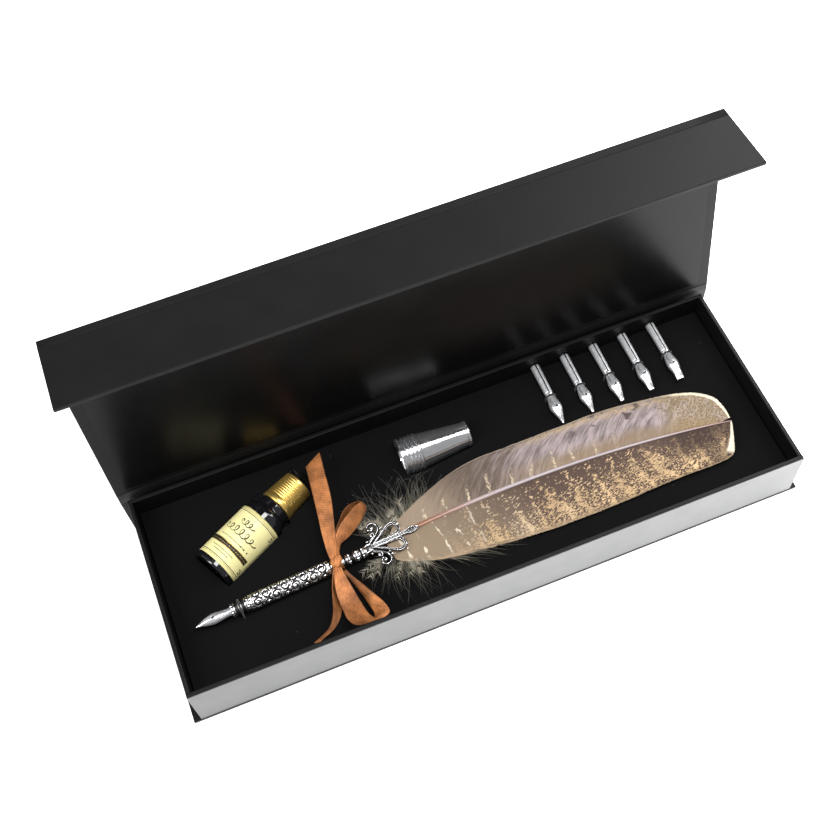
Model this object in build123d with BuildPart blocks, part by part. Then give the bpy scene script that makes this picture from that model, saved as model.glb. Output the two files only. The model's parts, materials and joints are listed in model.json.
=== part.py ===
from build123d import *
from math import cos, radians, sin
import os

# A quill pen gift box: a hinged rigid card case with a front flap, and a tray that holds a quill pen,
# an ink bottle, a pen stand and five spare nibs. Sizes are in millimetres. X runs along the box,
# Y to its back and Z up. The origin is on the table, under the middle of the tray.

# Case and tray
tray_length = 300.0
tray_depth = 101.5
rim_height = 33.7
board = 2.0
paper = 0.3
side_overhang = 3.5
front_overhang = 0.5
spine_gap = 0.8
lid_clearance = 0.2
lid_reach = 108.2
flap_reach = 35.1
lid_open_angle = 99.8
flap_rest_angle = 85.0
edge_round = 0.4
lid_crease_gap = 1.5
flap_crease_gap = 2.0
crease_proud = 0.2
lining_inset = 5.0

# Magnets that hold the flap to the front
magnet_radius = 6.0
magnet_thickness = 1.2
magnet_clearance = 0.1
magnet_spacing = 190.0

# Insert that the things lie on
recess_depth = 11.2
card_thickness = 1.0
insert_clearance = 0.8
pocket_clearance = 0.45
rest_gap = 0.3

# Ink bottle, lying on its side, placed from the tray's left and back walls
bottle_left_gap = 24.4
bottle_back_gap = 42.05
bottle_angle = 27.4
bottle_top = 33.45
bottle_radius = 10.95
bottle_body = 36.9
base_round = 1.3
shoulder_round = 2.4
shoulder_rise = 1.7
neck_round = 0.6
neck_radius = 6.4
neck_collar_radius = 8.6
neck_collar_gap = 0.3
glass_wall = 1.3
ink_gap = 0.1
ink_level = 5.0
label_base_gap = 2.9
label_length = 29.1
label_thickness = 0.15
label_gap = 0.03
bottle_neck_length = 5.5
cap_length = 16.0
cap_skirt_radius = 8.7
cap_top_radius = 7.85
cap_wall_clearance = 0.4
cap_band = 3.4
cap_ribs = 9
cap_rib_depth = 0.3
cap_top_round = 0.8
cap_top_wall = 1.2
liner_thickness = 1.0
cap_travel = 3.6

# Pen stand, lying on its side with its wide mouth to the left, placed from the back wall
stand_left = -22.2
stand_length = 35.2
stand_back_gap = 21.65
stand_top = 33.4
stand_mouth_radius = 9.4
stand_neck_radius = 6.0
stand_lip_radius = 6.5
stand_wall = 0.9
stand_rings = 4
stand_ring_gap = 1.9
stand_ring_pitch = 2.0
stand_ring_height = 0.45
stand_lip_length = 1.3

# Nibs
nib_length = 34.4
nib_wall = 0.35
nib_shank_radius = 2.2
nib_shank_front = 1.95
nib_shank_from = 17.2
nib_waist_radius = 1.8
nib_waist_at = 15.6
nib_body_radius = 2.9
nib_body_at = 8.6
nib_shoulder_radius = 2.3
nib_shoulder_at = 4.8
nib_seam = 0.5
nib_hole_radius = 0.55
nib_slit = 0.16
pen_nib_body_radius = 2.5
spare_nib_right_gap = 26.6
spare_nib_spacing = 15.85
spare_nib_back_gap = 0.5
spare_tip_radii = (0.4, 0.45, 0.85, 1.25, 1.8)

# Elastic ties
tie_radius = 0.4
tie_clearance = 0.25
tie_hole_clearance = 0.3
tie_depth = 4.0

# Quill pen, placed from the tray's left and front walls
pen_left_gap = 9.95
pen_front_gap = 30.45
pen_angle = 3.4
collar_radius = 3.2
collar_groove_radius = 2.95
collar_length = 8.6
collar_groove_length = 4.4
barrel_radius = 3.4
barrel_end_radius = 3.65
barrel_length = 40.0
bead_length = 1.6
waist_length = 6.8
waist_radius = 2.6
neck_length = 12.2
pen_neck_radius = 2.0
neck_ring_radius = 2.55
neck_ring_length = 2.2
holder_wall = 0.3
holder_clearance = 0.1
holder_length = 19.5
joint_gap = 0.05
socket_depth = 4.0

# Crest at the end of the pen
crest_thickness = 1.8
crest_length = 26.2
spear_half_width = 1.2
leaf_half_width = 1.9
leaf_length = 6.5
loop_start = 2.6
loop_length = 12.1
loop_angle = 16.3
loop_radius = 3.5
loop_stroke = 1.3
loop_hole_start = 0.25
scroll_stroke = 1.2
scroll_at = 5.8
scroll_side = 8.5
scroll_radius = 2.2
scroll_ball = 1.0
curl_at = 3.6
curl_side = 4.6
crest_root_length = 2.0

# Feather
quill_radius = 1.5
quill_tip_radius = 0.35
quill_bow = 6.6
quill_steps = 8
feather_right_gap = 16.4
feather_tip_rise = 0.9
feather_crown_z = 27.6
vane_thickness = 0.6
vane_camber = 110.0
vane_crown_rise = 7.3
vane_root_gap = 8.4
feather_nib_gap = 0.45
feather_front_gap = 14.05
upper_edge_start = 42.1
upper_edge_stop = 34.6
upper_edge_dip = 2.1
upper_foot_inset = (23.0, 9.0)
upper_tip_inset = (4.1, 12.6)
lower_edge_start_inset = (43.5, 2.5)
lower_edge_stop_inset = (15.1, 1.0)
lower_foot_inset = (21.0, 5.3)
lower_foot_rise = 13.2
lower_tip_inset = (3.2, 6.1)
down_thickness = 1.1
down_top = 25.1
back_down_start = 16.0
back_down_radius = 19.0
back_down_rise = 3.3
down_stand_gap = 2.7
front_down_start = 12.0
front_down_drop = 5.7
front_down_radii = (22.0, 13.0)

# Ribbon bow
ribbon_width = 9.0
ribbon_thickness = 0.45
knot_length = 6.6
knot_width = 9.5
knot_top = 32.6
knot_gap = 0.15
front_loop_angle = -72.0
front_loop_reach = 33.0
back_loop_angle = 50.0
back_loop_reach = 28.7
loop_drop = 2.6
back_tail_angle = 81.0
back_tail_gap = 8.0
front_tail_angle = -123.0
front_tail_length = 38.0
front_tail_width = 6.0

# Places worked out from the sizes above
case_width = tray_length + 2 * side_overhang
crease_radius = board / 2 + crease_proud
back_y = tray_depth / 2
front_y = -tray_depth / 2
hinge_y = back_y + spine_gap + board / 2
hinge_z = rim_height + lid_clearance + paper + board / 2
insert_top = rim_height - recess_depth
foam_top = insert_top - card_thickness
tray_floor = 2 * board
inner_length = tray_length - 2 * board
inner_depth = tray_depth - 2 * board
inner_left = -inner_length / 2
inner_right = inner_length / 2
inner_front = -inner_depth / 2
inner_back = inner_depth / 2


def side_plane(x, y, z, angle):
    """A plane that stands upright along a level direction: its X runs that way and its Y runs up."""
    along = (cos(radians(angle)), sin(radians(angle)), 0)
    side = (sin(radians(angle)), -cos(radians(angle)), 0)
    return Plane(origin=(x, y, z), x_dir=along, z_dir=side)


def level_axis(x, y, z, angle):
    """The axis along a level direction."""
    return Axis((x, y, z), (cos(radians(angle)), sin(radians(angle)), 0))


def save(name, part, label):
    """Labels a finished piece and writes its file."""
    part.label = label
    export_step(part, f"parts/{name}.step")


os.makedirs("parts", exist_ok=True)

# Bottom board of the case, under the tray
bottom_back = hinge_y - lid_crease_gap
with BuildPart() as bottom_board:
    with BuildSketch():
        with Locations((0, (bottom_back + front_y - front_overhang) / 2)):
            Rectangle(case_width, bottom_back - front_y + front_overhang)
    extrude(amount=board)
    fillet(bottom_board.edges().filter_by(Axis.X), edge_round)
save("bottom_board", bottom_board.part, "bottom_board")

# Spine board behind the tray, between the two creases
spine_low = crease_radius + lid_crease_gap
with BuildPart() as spine_board:
    with BuildSketch(Plane.XY.offset(spine_low)):
        with Locations((0, hinge_y)):
            Rectangle(case_width, board)
    extrude(amount=hinge_z - lid_crease_gap - spine_low)
save("spine_board", spine_board.part, "spine_board")

# Paper creases beside the spine board
with BuildPart() as base_crease:
    with BuildSketch(Plane.YZ.offset(-case_width / 2)):
        with Locations((hinge_y, crease_radius)):
            Circle(crease_radius)
    extrude(amount=case_width)
save("base_crease", base_crease.part, "base_crease")

with BuildPart() as lid_crease:
    with BuildSketch(Plane.YZ.offset(-case_width / 2)):
        with Locations((hinge_y, hinge_z)):
            Circle(crease_radius)
    extrude(amount=case_width)
save("lid_crease", lid_crease.part, "lid_crease")

# Lid, standing open on its crease
lid_lean = lid_open_angle - 90
lid_up = (0, sin(radians(lid_lean)), cos(radians(lid_lean)))
lid_inward = (0, -cos(radians(lid_lean)), sin(radians(lid_lean)))
lid_middle = Plane(origin=(0, hinge_y, hinge_z), x_dir=(1, 0, 0), z_dir=lid_inward)
lid_length = lid_reach - lid_crease_gap - flap_crease_gap
with BuildPart() as lid_board:
    with BuildSketch(lid_middle.offset(-board / 2)):
        with Locations((0, lid_crease_gap + lid_length / 2)):
            Rectangle(case_width, lid_length)
    extrude(amount=board)
    fillet(lid_board.edges().filter_by(Axis.X), edge_round)
save("lid_board", lid_board.part, "lid_board")

with BuildPart() as lid_lining:
    with BuildSketch(lid_middle.offset(board / 2)):
        with Locations((0, lid_crease_gap + lid_length / 2)):
            Rectangle(case_width - 2 * lining_inset, lid_length - 2 * lining_inset)
    extrude(amount=paper)
save("lid_lining", lid_lining.part, "lid_lining")

# Crease between the lid and the flap
flap_hinge_y = hinge_y + lid_reach * lid_up[1]
flap_hinge_z = hinge_z + lid_reach * lid_up[2]
with BuildPart() as flap_crease:
    with BuildSketch(Plane.YZ.offset(-case_width / 2)):
        with Locations((flap_hinge_y, flap_hinge_z)):
            Circle(crease_radius)
    extrude(amount=case_width)
save("flap_crease", flap_crease.part, "flap_crease")

# Flap, hanging forwards from the top of the open lid
flap_turn = lid_lean + flap_rest_angle
flap_inward = (0, cos(radians(flap_turn)), -sin(radians(flap_turn)))
flap_middle = Plane(origin=(0, flap_hinge_y, flap_hinge_z), x_dir=(1, 0, 0), z_dir=flap_inward)
flap_length = flap_reach - flap_crease_gap
flap_centre = flap_crease_gap + flap_length / 2
with BuildPart() as flap_board:
    with BuildSketch(flap_middle.offset(-board / 2)):
        with Locations((0, flap_centre)):
            Rectangle(case_width, flap_length)
    extrude(amount=board)
    fillet(flap_board.edges().filter_by(Axis.X), edge_round)
    with BuildSketch(flap_middle.offset(board / 2)):
        with Locations((0, flap_centre)):
            with GridLocations(magnet_spacing, 0, 2, 1):
                Circle(magnet_radius + magnet_clearance)
    extrude(amount=-magnet_thickness, mode=Mode.SUBTRACT)
save("flap_board", flap_board.part, "flap_board")

with BuildPart() as flap_magnets:
    with BuildSketch(flap_middle.offset(board / 2)):
        with Locations((0, flap_centre)):
            with GridLocations(magnet_spacing, 0, 2, 1):
                Circle(magnet_radius)
    extrude(amount=-magnet_thickness)
save("flap_magnets", flap_magnets.part, "flap_magnets")

with BuildPart() as flap_lining:
    with BuildSketch(flap_middle.offset(board / 2)):
        with Locations((0, flap_centre)):
            Rectangle(case_width - 2 * lining_inset, flap_length - lining_inset)
    extrude(amount=paper)
save("flap_lining", flap_lining.part, "flap_lining")

# Tray: a base board inside four wall boards
with BuildPart() as tray_base_board:
    with BuildSketch(Plane.XY.offset(board)):
        Rectangle(inner_length, inner_depth)
    extrude(amount=board)
save("tray_base_board", tray_base_board.part, "tray_base_board")

wall_height = rim_height - board
magnet_z = hinge_z - flap_centre
with BuildPart() as tray_front_wall:
    with BuildSketch(Plane.XY.offset(board)):
        with Locations((0, front_y + board / 2)):
            Rectangle(tray_length, board)
    extrude(amount=wall_height)
    fillet(tray_front_wall.edges().filter_by(Axis.X).group_by(Axis.Z)[-1], edge_round)
    with BuildSketch(Plane.XZ.offset(-front_y)):
        with Locations((0, magnet_z)):
            with GridLocations(magnet_spacing, 0, 2, 1):
                Circle(magnet_radius + magnet_clearance)
    extrude(amount=-magnet_thickness, mode=Mode.SUBTRACT)
save("tray_front_wall", tray_front_wall.part, "tray_front_wall")

with BuildPart() as tray_magnets:
    with BuildSketch(Plane.XZ.offset(-front_y)):
        with Locations((0, magnet_z)):
            with GridLocations(magnet_spacing, 0, 2, 1):
                Circle(magnet_radius)
    extrude(amount=-magnet_thickness)
save("tray_magnets", tray_magnets.part, "tray_magnets")

with BuildPart() as front_wall_paper:
    with BuildSketch(Plane.XZ.offset(-front_y)):
        with Locations((0, board + (wall_height - edge_round) / 2)):
            Rectangle(tray_length, wall_height - edge_round)
    extrude(amount=paper)
save("front_wall_paper", front_wall_paper.part, "front_wall_paper")

with BuildPart() as tray_back_wall:
    with BuildSketch(Plane.XY.offset(board)):
        with Locations((0, back_y - board / 2)):
            Rectangle(tray_length, board)
    extrude(amount=wall_height)
    fillet(tray_back_wall.edges().filter_by(Axis.X).group_by(Axis.Z)[-1], edge_round)
save("tray_back_wall", tray_back_wall.part, "tray_back_wall")

for wall_name, wall_side in (("tray_left_wall", -1), ("tray_right_wall", 1)):
    with BuildPart() as end_wall:
        with BuildSketch(Plane.XY.offset(board)):
            with Locations((wall_side * (tray_length - board) / 2, 0)):
                Rectangle(board, inner_depth)
        extrude(amount=wall_height)
        fillet(end_wall.edges().filter_by(Axis.Y).group_by(Axis.Z)[-1], edge_round)
    save(wall_name, end_wall.part, wall_name)

# Places of the things in the tray
bottle_x = inner_left + bottle_left_gap
bottle_y = inner_back - bottle_back_gap
label_from = label_base_gap
label_to = label_from + label_length
cap_from = bottle_body + bottle_neck_length
cap_to = cap_from + cap_length
stand_y = inner_back - stand_back_gap
stand_ring_from = stand_lip_length + stand_ring_gap
pen_tip_x = inner_left + pen_left_gap
pen_tip_y = inner_front + pen_front_gap
collar_from = nib_shank_from
bottle_z = bottle_top - bottle_radius
bottle_side = side_plane(bottle_x, bottle_y, bottle_z, bottle_angle)
bottle_axis = level_axis(bottle_x, bottle_y, bottle_z, bottle_angle)
bottle_plan = Plane(origin=(bottle_x, bottle_y, 0), x_dir=bottle_axis.direction, z_dir=(0, 0, 1))
stand_z = stand_top - stand_mouth_radius
stand_side = side_plane(stand_left, stand_y, stand_z, 0)
stand_axis = level_axis(stand_left, stand_y, stand_z, 0)
stand_plan = Plane(origin=(stand_left, stand_y, 0), x_dir=(1, 0, 0), z_dir=(0, 0, 1))
pen_z = insert_top + barrel_end_radius + rest_gap
pen_side = side_plane(pen_tip_x, pen_tip_y, pen_z, pen_angle)
pen_axis = level_axis(pen_tip_x, pen_tip_y, pen_z, pen_angle)
spare_tip_y = inner_back - spare_nib_back_gap - nib_length
spare_nib_z = insert_top + nib_shank_radius + rest_gap
first_nib_x = inner_right - spare_nib_right_gap - (len(spare_tip_radii) - 1) * spare_nib_spacing
spare_nib_xs = [first_nib_x + i * spare_nib_spacing for i in range(len(spare_tip_radii))]

# Elastic loops reach this far each side of what they hold
nib_tie_reach = nib_waist_radius + tie_clearance + tie_radius
pen_tie_reach = collar_groove_radius + tie_clearance + tie_radius
pen_tie_at = collar_from + collar_length / 2
nib_tie_y = spare_tip_y + nib_waist_at
tie_hole = tie_radius + tie_hole_clearance

# The pockets: where the bottle, its cap and the stand sink into the insert
body_half = bottle_radius + label_gap + label_thickness + pocket_clearance
cap_half = cap_skirt_radius + pocket_clearance
cap_step = cap_from - pocket_clearance
bottle_pocket_end = cap_to + cap_travel + pocket_clearance
mouth_half = stand_mouth_radius + pocket_clearance
lip_half = stand_lip_radius + pocket_clearance
with BuildSketch(bottle_plan) as bottle_pocket:
    with BuildLine():
        Polyline(
            (-pocket_clearance, -body_half),
            (cap_step, -body_half),
            (cap_step, -cap_half),
            (bottle_pocket_end, -cap_half),
            (bottle_pocket_end, cap_half),
            (cap_step, cap_half),
            (cap_step, body_half),
            (-pocket_clearance, body_half),
            close=True,
        )
    make_face()
with BuildSketch(stand_plan) as stand_pocket:
    with BuildLine():
        Polyline(
            (-pocket_clearance, -mouth_half),
            (stand_ring_from + stand_rings * stand_ring_pitch, -mouth_half),
            (stand_length + pocket_clearance, -lip_half),
            (stand_length + pocket_clearance, lip_half),
            (stand_ring_from + stand_rings * stand_ring_pitch, mouth_half),
            (-pocket_clearance, mouth_half),
            close=True,
        )
    make_face()
with BuildSketch() as nib_tie_holes:
    for nib_x in spare_nib_xs:
        with Locations((nib_x - nib_tie_reach, nib_tie_y), (nib_x + nib_tie_reach, nib_tie_y)):
            Circle(tie_hole)
pen_plan = Plane(origin=(pen_tip_x, pen_tip_y, 0), x_dir=pen_axis.direction, z_dir=(0, 0, 1))
with BuildSketch(pen_plan) as pen_tie_holes:
    with Locations((pen_tie_at, -pen_tie_reach), (pen_tie_at, pen_tie_reach)):
        Circle(tie_hole)

# Insert: a foam block with a flocked card on it
bottle_pocket_floor = bottle_top - 2 * bottle_radius - label_gap - label_thickness - rest_gap
stand_pocket_floor = stand_top - 2 * stand_mouth_radius - rest_gap
with BuildPart() as insert_foam:
    with BuildSketch(Plane.XY.offset(tray_floor)):
        Rectangle(inner_length - 2 * insert_clearance, inner_depth - 2 * insert_clearance)
    extrude(amount=foam_top - tray_floor)
    for cut_sketch, cut_floor in (
        (bottle_pocket, bottle_pocket_floor),
        (stand_pocket, stand_pocket_floor),
        (nib_tie_holes, foam_top - tie_depth - rest_gap),
        (pen_tie_holes, foam_top - tie_depth - rest_gap),
    ):
        raised_cut = cut_sketch.sketch.moved(Location((0, 0, foam_top)))
        extrude(raised_cut, amount=cut_floor - foam_top, dir=(0, 0, 1), mode=Mode.SUBTRACT)
save("insert_foam", insert_foam.part, "insert_foam")

with BuildPart() as insert_card:
    with BuildSketch(Plane.XY.offset(foam_top)):
        Rectangle(inner_length - 2 * insert_clearance, inner_depth - 2 * insert_clearance)
    extrude(amount=card_thickness)
    for cut_sketch in (bottle_pocket, stand_pocket, nib_tie_holes, pen_tie_holes):
        raised_cut = cut_sketch.sketch.moved(Location((0, 0, foam_top)))
        extrude(raised_cut, amount=card_thickness, dir=(0, 0, 1), mode=Mode.SUBTRACT)
save("insert_card", insert_card.part, "insert_card")


def elastic_tie(upright_plane, reach):
    """A thin elastic loop over a piece: a half ring, with a leg down each side into the insert."""
    ring_z = upright_plane.origin.Z
    leg = ring_z - foam_top + tie_depth
    with BuildPart() as tie:
        with BuildLine(upright_plane):
            loop_path = Polyline((-reach, -leg), (-reach, 0))
            ThreePointArc((-reach, 0), (0, reach), (reach, 0))
            Line((reach, 0), (reach, -leg))
        with BuildSketch(Plane(origin=loop_path @ 0, z_dir=(0, 0, 1))):
            Circle(tie_radius)
        sweep()
    return tie.part


# Elastic ties over the waists of the spare nibs and over the groove in the pen's collar
for i, nib_x in enumerate(spare_nib_xs):
    tie_plane = side_plane(nib_x, nib_tie_y, spare_nib_z, 0)
    save(f"nib_tie_{i + 1}", elastic_tie(tie_plane, nib_tie_reach), f"nib_tie_{i + 1}")
pen_tie_point = pen_side.from_local_coords((pen_tie_at, 0, 0))
pen_tie_plane = side_plane(pen_tie_point.X, pen_tie_point.Y, pen_z, pen_angle + 90)
save("pen_tie", elastic_tie(pen_tie_plane, pen_tie_reach), "pen_tie")

# Bottle: one turned glass shell, open at the lip, with a wide collar under the cap
shoulder_end = bottle_body + shoulder_rise
collar_end = cap_from - neck_collar_gap
neck_top = cap_to - cap_top_wall - liner_thickness - 2 * joint_gap
inner_radius = bottle_radius - glass_wall
neck_bore = neck_radius - glass_wall
with BuildPart() as bottle_glass:
    with BuildSketch(bottle_side) as bottle_profile:
        with BuildLine():
            Polyline(
                (0, 0),
                (0, bottle_radius),
                (bottle_body, bottle_radius),
                (shoulder_end, neck_collar_radius),
                (collar_end, neck_collar_radius),
                (collar_end, neck_radius),
                (neck_top, neck_radius),
                (neck_top, neck_bore),
                (shoulder_end, neck_bore),
                (bottle_body - glass_wall, inner_radius),
                (glass_wall, inner_radius),
                (glass_wall, 0),
                close=True,
            )
        make_face()
        for corner_u, corner_r, corner_round in (
            (0, bottle_radius, base_round),
            (bottle_body, bottle_radius, shoulder_round),
            (shoulder_end, neck_collar_radius, neck_round),
            (collar_end, neck_collar_radius, neck_round),
            (bottle_body - glass_wall, inner_radius, base_round),
        ):
            corner = (corner_u, corner_r)
            fillet(bottle_profile.vertices().sort_by_distance(corner)[0], corner_round)
    revolve(axis=bottle_axis)
save("bottle_glass", bottle_glass.part, "bottle_glass")

# Ink, lying level in the bottle's body
ink_from = glass_wall + ink_gap
ink_to = bottle_body - glass_wall - base_round
with BuildPart() as ink:
    with BuildSketch(bottle_side):
        with Locations(((ink_from + ink_to) / 2, (inner_radius - ink_gap) / 2)):
            Rectangle(ink_to - ink_from, inner_radius - ink_gap)
    revolve(axis=bottle_axis)
    split(bisect_by=Plane.XY.offset(bottle_z + ink_level), keep=Keep.BOTTOM)
save("ink", ink.part, "ink")

# Paper label round the bottle
with BuildPart() as bottle_label:
    with BuildSketch(bottle_side):
        with Locations(((label_from + label_to) / 2, bottle_radius + label_gap + label_thickness / 2)):
            Rectangle(label_to - label_from, label_thickness)
    revolve(axis=bottle_axis)
save("bottle_label", bottle_label.part, "bottle_label")

# Cap: a tapered shell with ribs round it, and a liner disc that seals the lip
cap_bore = neck_radius + cap_wall_clearance
rib_from = cap_from + cap_band
rib_pitch = (cap_to - cap_top_round - rib_from) / cap_ribs
cap_slope = (cap_skirt_radius - cap_top_radius) / (cap_to - cap_from)
cap_ceiling = cap_to - cap_top_wall
with BuildPart() as cap_shell:
    with BuildSketch(bottle_side) as cap_profile:
        with BuildLine():
            Polyline(
                (cap_from, cap_bore),
                (cap_from, cap_skirt_radius),
                (cap_to, cap_top_radius),
                (cap_to, 0),
                (cap_ceiling, 0),
                (cap_ceiling, cap_bore),
                close=True,
            )
        make_face()
        cap_corner = (cap_to, cap_top_radius)
        fillet(cap_profile.vertices().sort_by_distance(cap_corner)[0], cap_top_round)
        for i in range(cap_ribs):
            groove_at = rib_from + i * rib_pitch
            groove_radius = cap_skirt_radius - cap_slope * (groove_at - cap_from)
            with Locations((groove_at, groove_radius)):
                Circle(cap_rib_depth, mode=Mode.SUBTRACT)
    revolve(axis=bottle_axis)
save("cap_shell", cap_shell.part, "cap_shell")

liner_radius = cap_bore - rest_gap
with BuildPart() as cap_liner:
    with BuildSketch(bottle_side):
        with Locations((neck_top + joint_gap + liner_thickness / 2, liner_radius / 2)):
            Rectangle(liner_thickness, liner_radius)
    revolve(axis=bottle_axis)
save("cap_liner", cap_liner.part, "cap_liner")

# Pen stand: a turned tapered tube, open at both ends, with rings near its wide mouth
ring_zone_end = stand_ring_from + stand_rings * stand_ring_pitch
zone_radius = stand_mouth_radius - 2 * stand_ring_height
lip_from = stand_length - stand_lip_length
with BuildPart() as pen_stand:
    with BuildSketch(stand_side):
        with BuildLine():
            Polyline(
                (0, 0),
                (0, stand_mouth_radius),
                (stand_lip_length, stand_mouth_radius),
                (stand_lip_length, zone_radius),
                (ring_zone_end, zone_radius),
                (lip_from, stand_neck_radius),
                (lip_from, stand_lip_radius),
                (stand_length, stand_lip_radius),
                (stand_length, 0),
                close=True,
            )
        make_face()
        for i in range(stand_rings):
            with Locations((stand_ring_from + i * stand_ring_pitch, zone_radius - stand_ring_height)):
                Circle(2 * stand_ring_height)
        with BuildLine():
            Polyline(
                (0, 0),
                (0, zone_radius - stand_wall),
                (ring_zone_end, zone_radius - stand_wall),
                (stand_length, stand_neck_radius - stand_wall),
                (stand_length, 0),
                close=True,
            )
        make_face(mode=Mode.SUBTRACT)
    revolve(axis=stand_axis)
save("pen_stand", pen_stand.part, "pen_stand")


def pressed_nib(x, y, z, angle, tip_radius, body_radius):
    """A pressed nib: half a tapering shell with a slit to its tip, on a rolled tube with a seam."""
    nib_axis = level_axis(x, y, z, angle)
    nib_plan = Plane(origin=(x, y, z), x_dir=nib_axis.direction, z_dir=(0, 0, 1))
    with BuildPart() as blade:
        with BuildSketch(nib_plan):
            with BuildLine():
                Polyline(
                    (0, tip_radius - nib_wall),
                    (0, tip_radius),
                    (nib_shoulder_at, nib_shoulder_radius),
                    (nib_body_at, body_radius),
                    (nib_waist_at, nib_waist_radius),
                    (nib_shank_from, nib_shank_front),
                    (nib_shank_from, nib_shank_front - nib_wall),
                    (nib_waist_at, nib_waist_radius - nib_wall),
                    (nib_body_at, body_radius - nib_wall),
                    (nib_shoulder_at, nib_shoulder_radius - nib_wall),
                    close=True,
                )
            make_face()
        revolve(axis=nib_axis, revolution_arc=180)
        with BuildSketch(nib_plan):
            with BuildLine():
                Polyline(
                    (nib_shank_from, nib_shank_front - nib_wall),
                    (nib_shank_from, nib_shank_front),
                    (nib_length, nib_shank_radius),
                    (nib_length, nib_shank_radius - nib_wall),
                    close=True,
                )
            make_face()
        revolve(axis=nib_axis)
        with BuildSketch(nib_plan):
            with Locations((nib_body_at, 0)):
                Circle(nib_hole_radius)
            with Locations((nib_body_at / 2, 0)):
                Rectangle(nib_body_at, nib_slit)
            with Locations(((nib_shank_from + nib_length) / 2 + nib_seam, 0)):
                Rectangle(nib_length - nib_shank_from, nib_seam)
        extrude(amount=2 * nib_body_radius, mode=Mode.SUBTRACT)
    return blade.part


for i, (nib_x, tip_radius) in enumerate(zip(spare_nib_xs, spare_tip_radii)):
    spare_nib = pressed_nib(nib_x, spare_tip_y, spare_nib_z, 90, tip_radius, nib_body_radius)
    save(f"spare_nib_{i + 1}", spare_nib, f"spare_nib_{i + 1}")
pen_nib = pressed_nib(pen_tip_x, pen_tip_y, pen_z, pen_angle, spare_tip_radii[0], pen_nib_body_radius)
save("pen_nib", pen_nib, "pen_nib")

# Nib holder: a thin tube in the collar and barrel that the nib's shank pushes into
holder_from = nib_shank_from + joint_gap
holder_bore = nib_shank_radius + holder_clearance
holder_radius = holder_bore + holder_wall
with BuildPart() as nib_holder:
    with BuildSketch(pen_side):
        with Locations((holder_from + holder_length / 2, holder_bore + holder_wall / 2)):
            Rectangle(holder_length, holder_wall)
    revolve(axis=pen_axis)
save("nib_holder", nib_holder.part, "nib_holder")

# Collar: two rings with a groove between them
ring_length = (collar_length - collar_groove_length) / 2
holder_fit = holder_radius + joint_gap
with BuildPart() as front_collar:
    with BuildSketch(pen_side):
        with Locations((collar_from + collar_length / 2, (holder_fit + collar_groove_radius) / 2)):
            Rectangle(collar_length, collar_groove_radius - holder_fit)
        for ring_at in (collar_from + ring_length / 2, collar_from + collar_length - ring_length / 2):
            with Locations((ring_at, (holder_fit + collar_radius) / 2)):
                Rectangle(ring_length, collar_radius - holder_fit)
    revolve(axis=pen_axis)
save("front_collar", front_collar.part, "front_collar")

# Barrel: a turned rod with a bead at each end, bored for the holder
barrel_from = collar_from + collar_length
barrel_to = barrel_from + barrel_length
holder_end = holder_from + holder_length + joint_gap
with BuildPart() as pen_barrel:
    with BuildSketch(pen_side):
        with Locations(((barrel_from + barrel_to) / 2, barrel_radius / 2)):
            Rectangle(barrel_length, barrel_radius)
        for bead_at in (barrel_from + bead_length / 2, barrel_to - bead_length / 2):
            with Locations((bead_at, barrel_end_radius / 2)):
                Rectangle(bead_length, barrel_end_radius)
        with Locations(((barrel_from + holder_end) / 2, holder_fit / 2)):
            Rectangle(holder_end - barrel_from, holder_fit, mode=Mode.SUBTRACT)
    revolve(axis=pen_axis)
save("pen_barrel", pen_barrel.part, "pen_barrel")

# Neck: a plain waist that the ribbon ties round, then three turned rings, bored for the quill
neck_from = barrel_to + waist_length
neck_to = neck_from + neck_length
neck_ring_pitch = neck_length / 3
socket_radius = quill_radius + joint_gap
with BuildPart() as pen_neck:
    with BuildSketch(pen_side):
        with Locations(((barrel_to + neck_from) / 2, waist_radius / 2)):
            Rectangle(waist_length, waist_radius)
        with Locations(((neck_from + neck_to) / 2, pen_neck_radius / 2)):
            Rectangle(neck_length, pen_neck_radius)
        for i in range(3):
            with Locations((neck_from + (i + 0.5) * neck_ring_pitch, neck_ring_radius / 2)):
                Rectangle(neck_ring_length, neck_ring_radius)
        with Locations((neck_to - socket_depth / 2, socket_radius / 2)):
            Rectangle(socket_depth, socket_radius, mode=Mode.SUBTRACT)
    revolve(axis=pen_axis)
save("pen_neck", pen_neck.part, "pen_neck")


def teardrop(start_radius, end_radius, length):
    """A flat drop: the outline drawn tightly round a small circle and a larger one."""
    with BuildSketch() as drop:
        Circle(start_radius)
        with Locations((length, 0)):
            Circle(end_radius)
        make_hull()
    return drop.sketch


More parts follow.
